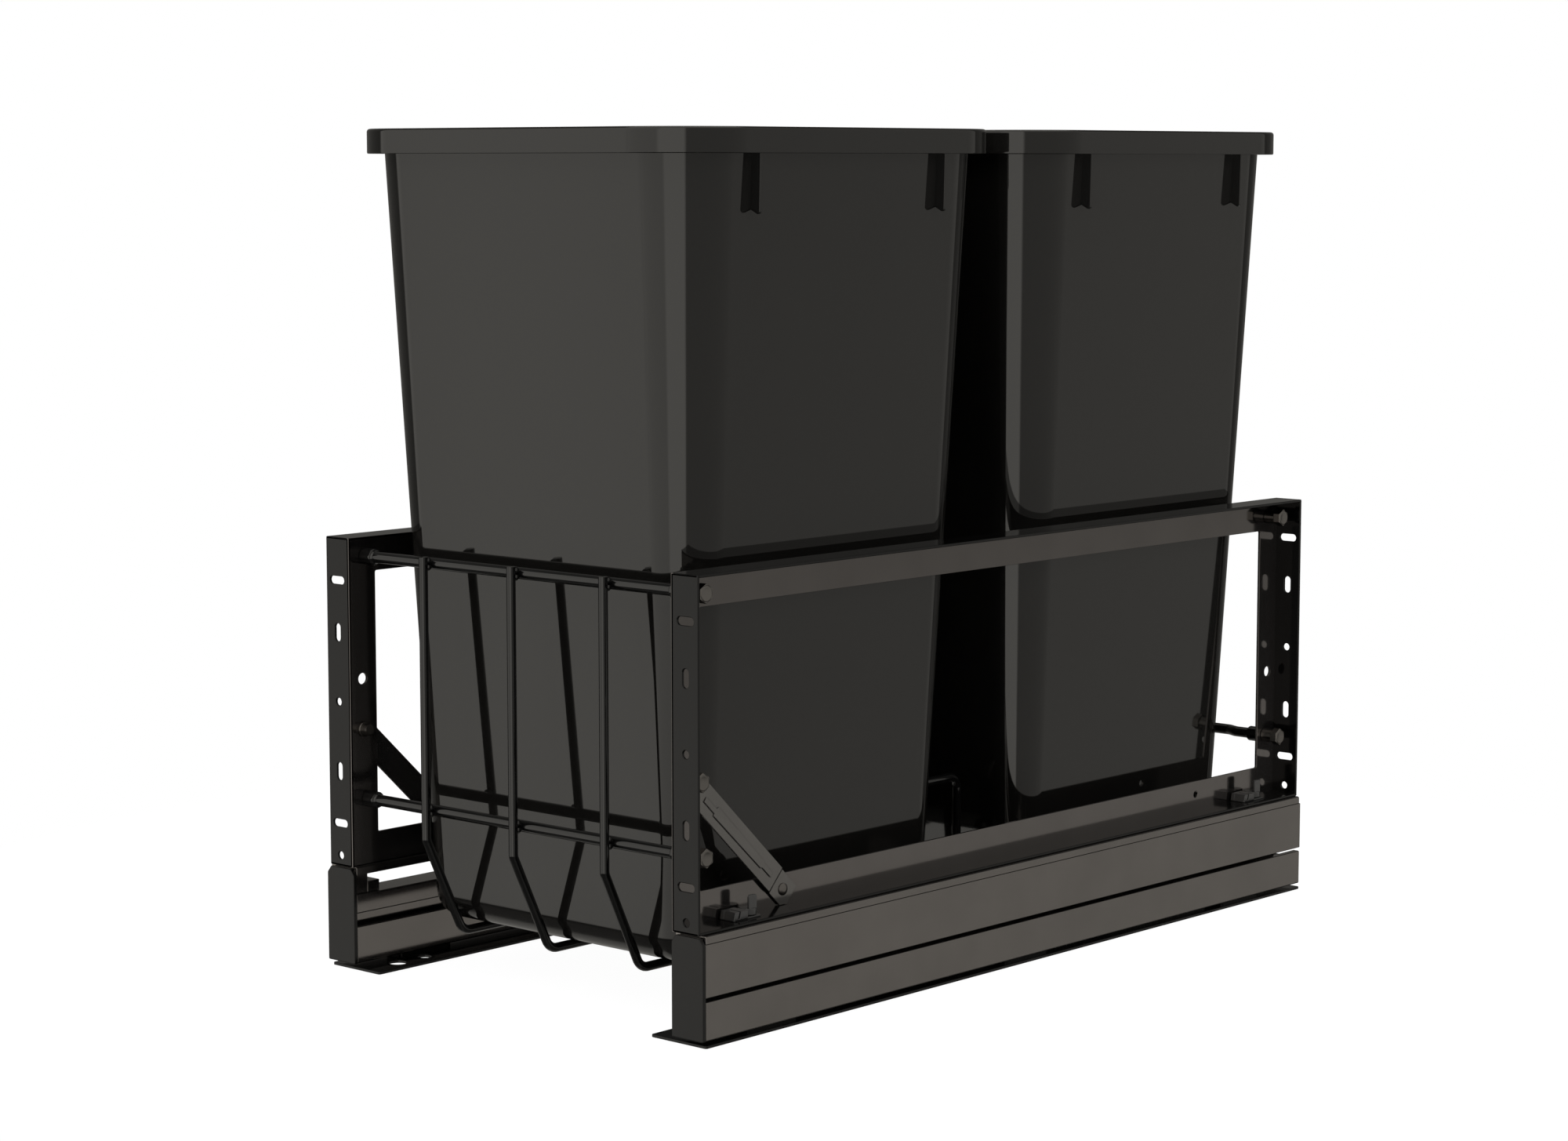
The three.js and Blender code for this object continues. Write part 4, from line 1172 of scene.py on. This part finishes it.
# --- wire basket
@dataclass
class Basket:
    """Crossbars between the frames and the three long wires that carry the bins."""

    reach: float = 127.0
    bar: float = 6.6
    wire: float = 5.2
    sleeve: float = 9.4
    sleeve_length: float = 9.0
    offset_x: float = 103.5
    wire_front: float = 6.3
    wire_rear: float = 557.0
    rear_bar: float = 551.0
    wire_top: float = 244.3
    wire_low: float = 26.5
    kink: float = 83.0
    floor_front: float = 33.5
    floor_rear: float = 546.0
    hump: float = 97.5
    hump_middle: float = 284.35
    hump_half: float = 22.5
    spacing: float = 71.0

    def crossbar(self, y: float, y_end: float, z: float) -> list[Mesh]:
        """Rod with a sleeve at each end.

        Args:
            y: place of the rod between the frames.
            y_end: place of its ends.
            z: height.

        Returns:
            The meshes of the crossbar.
        """
        step, end, bend = abs(y - y_end), self.reach - 1, self.offset_x
        if step < 0.01:
            path = [Vector((-end, y, z)), Vector((end, y, z))]
        else:
            half = [(end, y_end), (bend + step, y_end), (bend - step, y)]
            corners = [(-x, at) for x, at in half] + half[::-1]
            path = bent([Vector((x, at, z)) for x, at in corners], (8.0,) * 4)
        made = [tube(path, self.bar)]
        r, rod = self.sleeve / 2, self.bar / 2
        for side in (1, -1):
            outer, inner = side * self.reach, side * (self.reach - self.sleeve_length)
            profile = [
                (outer, rod - 0.6), (outer, r - 0.4), (outer - side * 0.4, r), (inner + side * 0.5, r),
                (inner + side * 0.1, r - 0.2), (inner, r - 0.5), (inner - side * 0.5, rod + 0.5),
                (inner - side * 1.1, rod + 0.1), (inner - side * 1.2, rod - 0.3),
            ]
            made.append(turned(profile, Axis.X, (0.0, y_end, z)))
        return made

    def long_wire(self, x: float, bars: Iterable[tuple[float, float, float]]) -> list[Mesh]:
        """Lengthwise wire with its hump between the bins, and the welds to the crossbars.

        Args:
            x: place of the wire across the unit.
            bars: each crossbar's place, place of its ends and height.

        Returns:
            The meshes of the wire.
        """
        low, hump, front, rear = self.wire_low, self.hump, self.wire_front, self.wire_rear
        before, after = self.hump_middle - self.hump_half, self.hump_middle + self.hump_half
        corners = [
            (front, self.wire_top), (front, self.kink), (self.floor_front, low), (before, low),
            (before, hump), (after, hump), (after, low), (self.floor_rear, low),
            (rear, self.kink), (rear, self.wire_top),
        ]
        path = bent([Vector((x, y, z)) for y, z in corners], (5.0, 9.0, 7.0, 7.0, 7.0, 7.0, 9.0, 5.0))
        made = [tube(path, self.wire)]
        bead = [(-2.6, 0.3), (-2.2, 1.2), (-1.2, 1.9), (0.0, 2.1), (1.2, 1.9), (2.2, 1.2), (2.6, 0.3)]
        for y, _, z in bars:
            contact = (y + (front if y < self.hump_middle else rear)) / 2
            made += [turned(bead, Axis.X, (x, contact, z + rise), 20) for rise in (1.9, -1.9)]
        return made

    def build(self) -> None:
        """Place the crossbars and the wires."""
        bars = {
            f"{place}_{level}_crossbar": (self.rear_bar if place == "rear" else y, y, z)
            for place, y in BOLT_Y.items() for level, z in BOLT_Z.items()
        }
        for node, (y, y_end, z) in bars.items():
            Piece(node, WIRE_COAT).place(self.crossbar(y, y_end, z))
        for place, x in (("left", -self.spacing), ("middle", 0.0), ("right", self.spacing)):
            Piece(f"basket_wire_{place}", WIRE_COAT).place(self.long_wire(x, bars.values()))


# --- slides
@dataclass
class Slide(Sided):
    """One roller slide with its floor plate, end cap and the channel that carries the frame."""

    inner: float = 127.0
    outer: float = 149.0
    moving_outer: float = 146.4
    moving_levels: Point2 = (44.1, 33.0)
    fixed_top: float = 25.0
    start: float = 2.9
    end: float = 559.8
    wall: float = 2.2
    lip: float = 2.3
    lip_thickness: float = 1.6
    plate_inner: float = 108.5
    plate_hole: float = 119.5
    plate_top: float = 3.8
    plate_ends: Point2 = (2.8, 560.7)
    pad_half: Point2 = (7.0, 20.0)
    riser_foot: float = 44.2
    riser_tops: Point2 = (58.7, 50.5)
    riser_sides: Point2 = (128.9, 146.1)
    cap_sides: Point2 = (126.5, 149.4)
    cap_top: float = 59.3
    cover_inner: float = 146.7
    cover_levels: Point2 = (27.1, 55.9)
    cover_ends: Point2 = (2.7, 560.4)

    def floor_plate(self) -> list[Mesh]:
        """Floor plate with its screw holes, their raised rings and three pads.

        Returns:
            The meshes of the plate.
        """
        x, middle = self.plate_hole, (self.inner + self.outer) / 2
        holes = [circle(x, y, r) for y, r in ((27.0, 5.5), (48.0, 4.5), (533.0, 5.5), (512.0, 4.5))]
        outline = rectangle(self.plate_inner, self.outer, *self.plate_ends, 1.5)
        made = [prism(outline, 0.0, SHEET, Axis.Z, 0.3, holes, 3)]
        across, along = self.pad_half
        for y in (60.0, 282.0, 500.0):
            pad = rectangle(middle - across, middle + across, y - along, y + along, 2.0)
            made.append(prism(pad, 1.2, self.plate_top, Axis.Z, 0.3))
        ring = [(1.55, 4.5), (1.62, 4.7), (1.9, 5.0), (1.9, 5.6), (1.6, 6.0), (1.4, 5.9), (1.4, 4.6)]
        return made + [turned(ring, Axis.Z, (x, y, 0.0), 40, True) for y in (48.0, 512.0)]

    def rail(self, outer: float, back: float, mouth: float, raised: float = 0.0) -> Mesh:
        """Rail of the slide: a channel with turned-in lips at its mouth.

        Args:
            outer: its outer face.
            back: height of its closed side.
            mouth: height of its open side, above the closed side or below it.
            raised: height by which the inner lip stands above the outer one.

        Returns:
            The mesh.
        """
        x0, x1, w, lip = self.inner, outer, self.wall, self.wall + self.lip
        way = math.copysign(1.0, mouth - back)
        floor, under, left = back + way * w, mouth - way * self.lip_thickness, mouth + raised
        profile = [
            (x0, back), (x1, back), (x1, mouth), (x1 - lip, mouth), (x1 - lip, under), (x1 - w, under),
            (x1 - w, floor), (x0 + w, floor), (x0 + w, under), (x0 + lip, under),
            (x0 + lip, left), (x0, left),
        ]
        radii = (1.0, 1.0, 0.9, 0.4, 0.4, 0.8, 0.8, 0.8, 0.8, 0.4, 0.4, 0.9)
        return prism(rounded(profile, radii, 4), self.start, self.end, Axis.Y, 0.2)

    def channel(self) -> Mesh:
        """Channel under the side frame, its legs hanging down.

        Returns:
            The mesh.
        """
        x0, x1, s = self.inner, self.outer, SHEET
        top, inner_foot, outer_foot = FRAME_LOW, 55.5, 56.0
        profile = [
            (x0, inner_foot), (x0 + s, inner_foot), (x0 + s, top - s), (x1 - s, top - s),
            (x1 - s, outer_foot), (x1, outer_foot), (x1, top), (x0, top),
        ]
        radii = (0.3, 0.3, 0.6, 0.6, 0.3, 0.3, 1.2, 1.2)
        return prism(rounded(profile, radii, 4), self.start, 559.0, Axis.Y, 0.25)

    def riser(self, start: float, direction: float) -> list[Mesh]:
        """Stepped riser between the moving member and the channel.

        Args:
            start: outer face of the riser.
            direction: 1 towards the rear, -1 towards the front.

        Returns:
            Both steps.
        """
        middle, end = start + direction * 10.0, start + direction * 19.0
        steps = []
        for (y0, y1), top in zip(((start, middle), (middle - direction, end)), self.riser_tops):
            outline = rectangle(*self.riser_sides, min(y0, y1), max(y0, y1), 1.0)
            steps.append(prism(outline, self.riser_foot, top, Axis.Z, 0.3))
        return steps

    def end_cap(self) -> Mesh:
        """Moulded cap across the front of the slide, with its upper corners cut off.

        Returns:
            The mesh.
        """
        (x0, x1), low, high = self.cap_sides, self.plate_top, self.cap_top
        shoulder, cut = high - 3.8, 3.0
        outline = [(x0, low), (x1, low), (x1, shoulder), (x1 - cut, high), (x0 + cut, high), (x0, shoulder)]
        return prism(rounded(outline, 0.8, 4), 0.0, 2.6, Axis.Y, 0.5, (), 3)

    def build(self) -> None:
        """Place the slide's pieces and dress those that stay from the frame."""
        self.put("floor_plate", FLANGE_COAT, self.floor_plate())
        self.put("cabinet_rail", SLIDE_STEEL, [self.rail(self.outer, self.plate_top, self.fixed_top, 0.7)])
        self.put("drawer_rail", SLIDE_STEEL, [self.rail(self.moving_outer, *self.moving_levels)])
        self.put("carrier_channel", SLIDE_STEEL, [self.channel()])
        self.put("front_riser", SLIDE_STEEL, self.riser(self.start + 0.2, 1.0))
        self.put("rear_riser", SLIDE_STEEL, self.riser(558.8, -1.0))
        self.put("end_cap", TRIM_PLASTIC, [self.end_cap()])
        if self.side is Side.RIGHT:
            panel = rectangle(self.cover_inner, self.outer, *self.cover_levels, 0.5)
            self.put("rail_cover", SLIDE_STEEL, [prism(panel, *self.cover_ends, Axis.Y, 0.3)])
        dress(f"middle_rail_{self.side.suffix}", SLIDE_STEEL)
        for level in ("lower", "upper"):
            dress(f"{level}_roller_cage_{self.side.suffix}", CAGE_PLASTIC)
        dress(f"rear_buffer_{self.side.suffix}", BUFFER_RUBBER)


# --- studio
def polar(azimuth: float, elevation: float, distance: float) -> Vector:
    """Point in a direction, in degrees from the front towards the right and above the level."""
    a, e = math.radians(azimuth), math.radians(elevation)
    return Vector((math.sin(a) * math.cos(e), -math.cos(a) * math.cos(e), math.sin(e))) * distance


def band(value: float, low: float, high: float, soft: float) -> float:
    """Weight that is 1 between two values and falls to 0 over a soft width about each."""
    rise, fall = (min(max(gap / soft + 0.5, 0.0), 1.0) for gap in (value - low, high - value))
    return rise * rise * (3 - 2 * rise) * fall * fall * (3 - 2 * fall)


@dataclass
class Studio:
    """Pale floor, soft lamps, a tent of light panels for the gloss, and the camera."""

    floor_radius: float = 0.62
    floor_level: float = -0.0006
    floor_edge: float = -0.012
    floor_tone: float = 0.86
    floor_light: float = 1.04
    floor_glow: float = 0.94
    hidden_light: float = 0.25
    tent_radius: float = 8.0
    lamp_level: float = 0.9
    lamp_distance: float = 4.0
    aim_height: float = 0.25
    tint: Colour = (1.0, 0.97, 0.90)
    camera_place: tuple[float, float, float] = (1.3946, -1.60715, 0.4637)
    camera_pitch: float = -6.576
    camera_yaw: float = 41.901
    lens: float = 81.09

    def camera(self) -> None:
        """Camera at the photograph's place and angle."""
        data = bpy.data.cameras.new("camera")
        data.lens, data.sensor_width, data.sensor_fit = self.lens, 36.0, "HORIZONTAL"
        data.clip_end = 60.0
        eye = bpy.data.objects.new("camera", data)
        eye.location = self.camera_place
        eye.rotation_euler = (math.radians(90 + self.camera_pitch), 0.0, math.radians(self.camera_yaw))
        bpy.context.scene.collection.objects.link(eye)
        bpy.context.scene.camera = eye

    @staticmethod
    def _blank(owner: bpy.types.Material | bpy.types.World) -> Graph:
        """Empty node tree of a new material or world.

        Args:
            owner: the material or world.

        Returns:
            The graph of its tree.
        """
        owner.use_nodes = True
        owner.node_tree.nodes.clear()
        return Graph(owner.node_tree)

    @staticmethod
    def _seen(graph: Graph) -> Socket:
        """Test for what is seen directly, mirrored or through glass.

        Args:
            graph: graph that takes the nodes.

        Returns:
            A socket that is 1 for camera, glossy and transmission rays.
        """
        path = graph.add("LightPath", {}).outputs
        direct = graph.compute("MAXIMUM", path["Is Camera Ray"], path["Is Glossy Ray"])
        return graph.compute("MAXIMUM", direct, path["Is Transmission Ray"])

    @staticmethod
    def _staged(name: str, mesh: Mesh, material: bpy.types.Material) -> bpy.types.Object:
        """Set up a mesh that isn't part of the unit.

        Args:
            name: name of the object.
            mesh: its mesh.
            material: its material.

        Returns:
            The object.
        """
        mesh.materials.append(material)
        stage = bpy.data.objects.new(name, mesh)
        bpy.context.scene.collection.objects.link(stage)
        return stage

    def world(self) -> None:
        """White background for what the camera sees, dim light for the rest."""
        world = bpy.data.worlds.new("studio")
        graph = self._blank(world)
        lights = [(grey, grey, grey, 1.0) for grey in (self.hidden_light, 1.0)]
        dim, shown = (graph.add("Background", {"Color": light}).outputs[0] for light in lights)
        mix = graph.add("MixShader", {0: self._seen(graph), 1: dim, 2: shown})
        graph.add("OutputWorld", {0: mix.outputs[0]})
        bpy.context.scene.world = world

    def floor(self) -> None:
        """Round pale floor that keeps the unit's shadow."""
        radius, level, tone = self.floor_radius, self.floor_level, self.floor_tone
        outlines = ((radius, self.floor_edge), (radius, level), (0.02, level))
        rings = [[Vector((x, y, z)) for x, y in circle(0.0, 0.0, r, 90)] for r, z in outlines]
        material = bpy.data.materials.new("floor")
        graph = self._blank(material)
        matt = graph.add("BsdfDiffuse", {"Color": (tone, tone, tone, 1.0)})
        glow = graph.add("Emission", {"Strength": self.floor_light})
        share = graph.compute("MULTIPLY", self._seen(graph), self.floor_glow)
        mix = graph.add("MixShader", {0: share, 1: matt.outputs[0], 2: glow.outputs[0]})
        graph.add("OutputMaterial", {0: mix.outputs[0]})
        self._staged("floor", skin(rings, cap_start=False), material).visible_glossy = False

    @staticmethod
    def panel_level(azimuth: float, elevation: float) -> float:
        """Brightness of the tent in a direction.

        Args:
            azimuth: degrees from the front towards the right.
            elevation: degrees above the level.

        Returns:
            Emission strength.
        """
        panels = (
            (0.90, -62, -47, 4), (1.03, -47, -35, 4), (1.01, -35, 8, 3), (1.42, 8, 44, 3),
            (0.41, 44, 157, 3), (0.08, 157, 200, 6), (0.10, -190, -60, 6),
        )
        around = sum(level * band(azimuth, *limits) for level, *limits in panels)
        below = 0.07 + 0.25 * band(azimuth, -190, -80, 20) + 0.10 * band(azimuth, 50, 100, 12)
        lit = around * band(elevation, -19, 52, 4) + below * band(elevation, -120, -24, 6)
        return lit + 0.9 * band(elevation, 52, 120, 8) + 0.03

    def tent(self) -> None:
        """Tent of light panels that only gloss shows."""
        elevations, azimuths = range(-90, 91, 3), range(-180, 180, 2)
        heights = [max(min(elevation, 89.9), -89.9) for elevation in elevations]
        rings = [[polar(azimuth, height, self.tent_radius) for azimuth in azimuths] for height in heights]
        mesh = skin(rings, False, False)
        levels = [self.panel_level(azimuth, elevation) for elevation in elevations for azimuth in azimuths]
        layer = mesh.color_attributes.new("panel", "FLOAT_COLOR", "POINT")
        for item, level in zip(layer.data, levels):
            item.color = (*(level * share for share in self.tint), 1.0)
        material = bpy.data.materials.new("tent")
        graph = self._blank(material)
        paint = graph.add("VertexColor", {}, layer_name="panel").outputs["Color"]
        graph.add("OutputMaterial", {0: graph.add("Emission", {"Color": paint}).outputs[0]})
        tent = self._staged("tent", mesh, material)
        tent.visible_camera = tent.visible_diffuse = tent.visible_shadow = False
        tent.visible_transmission = tent.visible_volume_scatter = False

    def lamps(self) -> None:
        """Large soft lamps for the plain light on the unit."""
        middle = Vector((0.0, 0.0, self.aim_height))
        for name, azimuth, elevation, size, share in (
            ("key_lamp", -35.0, 40.0, 3.0, 0.55),
            ("side_lamp", 95.0, 30.0, 3.0, 0.35),
            ("top_lamp", 10.0, 85.0, 3.5, 0.45),
            ("back_lamp", 200.0, 35.0, 3.0, 0.25),
        ):
            data = bpy.data.lights.new(name, "AREA")
            data.shape, data.size = "DISK", size
            data.energy = share * self.lamp_level * 4 * math.pi * self.lamp_distance**2
            lamp = bpy.data.objects.new(name, data)
            lamp.location = middle + polar(azimuth, elevation, self.lamp_distance)
            lamp.rotation_euler = (middle - lamp.location).to_track_quat("-Z", "Y").to_euler()
            lamp.visible_glossy = lamp.visible_camera = False
            bpy.context.scene.collection.objects.link(lamp)

    def build(self) -> None:
        """Set up the studio and the view settings."""
        bpy.context.scene.view_settings.view_transform = "Standard"
        for step in (self.camera, self.world, self.floor, self.tent, self.lamps):
            step()
        LOG.info("studio is up")


def main() -> None:
    """Build the studio and every sub-assembly in order."""
    logging.basicConfig(level=logging.INFO, format="%(message)s")
    Studio().build()
    for side in Side:
        for made in (Slide(side), SideFrame(side), Brace(side)):
            made.build()
        for place, y in BOLT_Y.items():
            for level, z in BOLT_Z.items():
                HexScrew(side, y, z).build(f"{place}_{level}_bolt")
        for place, start in CLIP_Y.items():
            Clip(side, place, start).build()
    Basket().build()
    for node, front in BIN_FRONT.items():
        Bin(node, front).build()


if __name__ == "__main__":
    main()
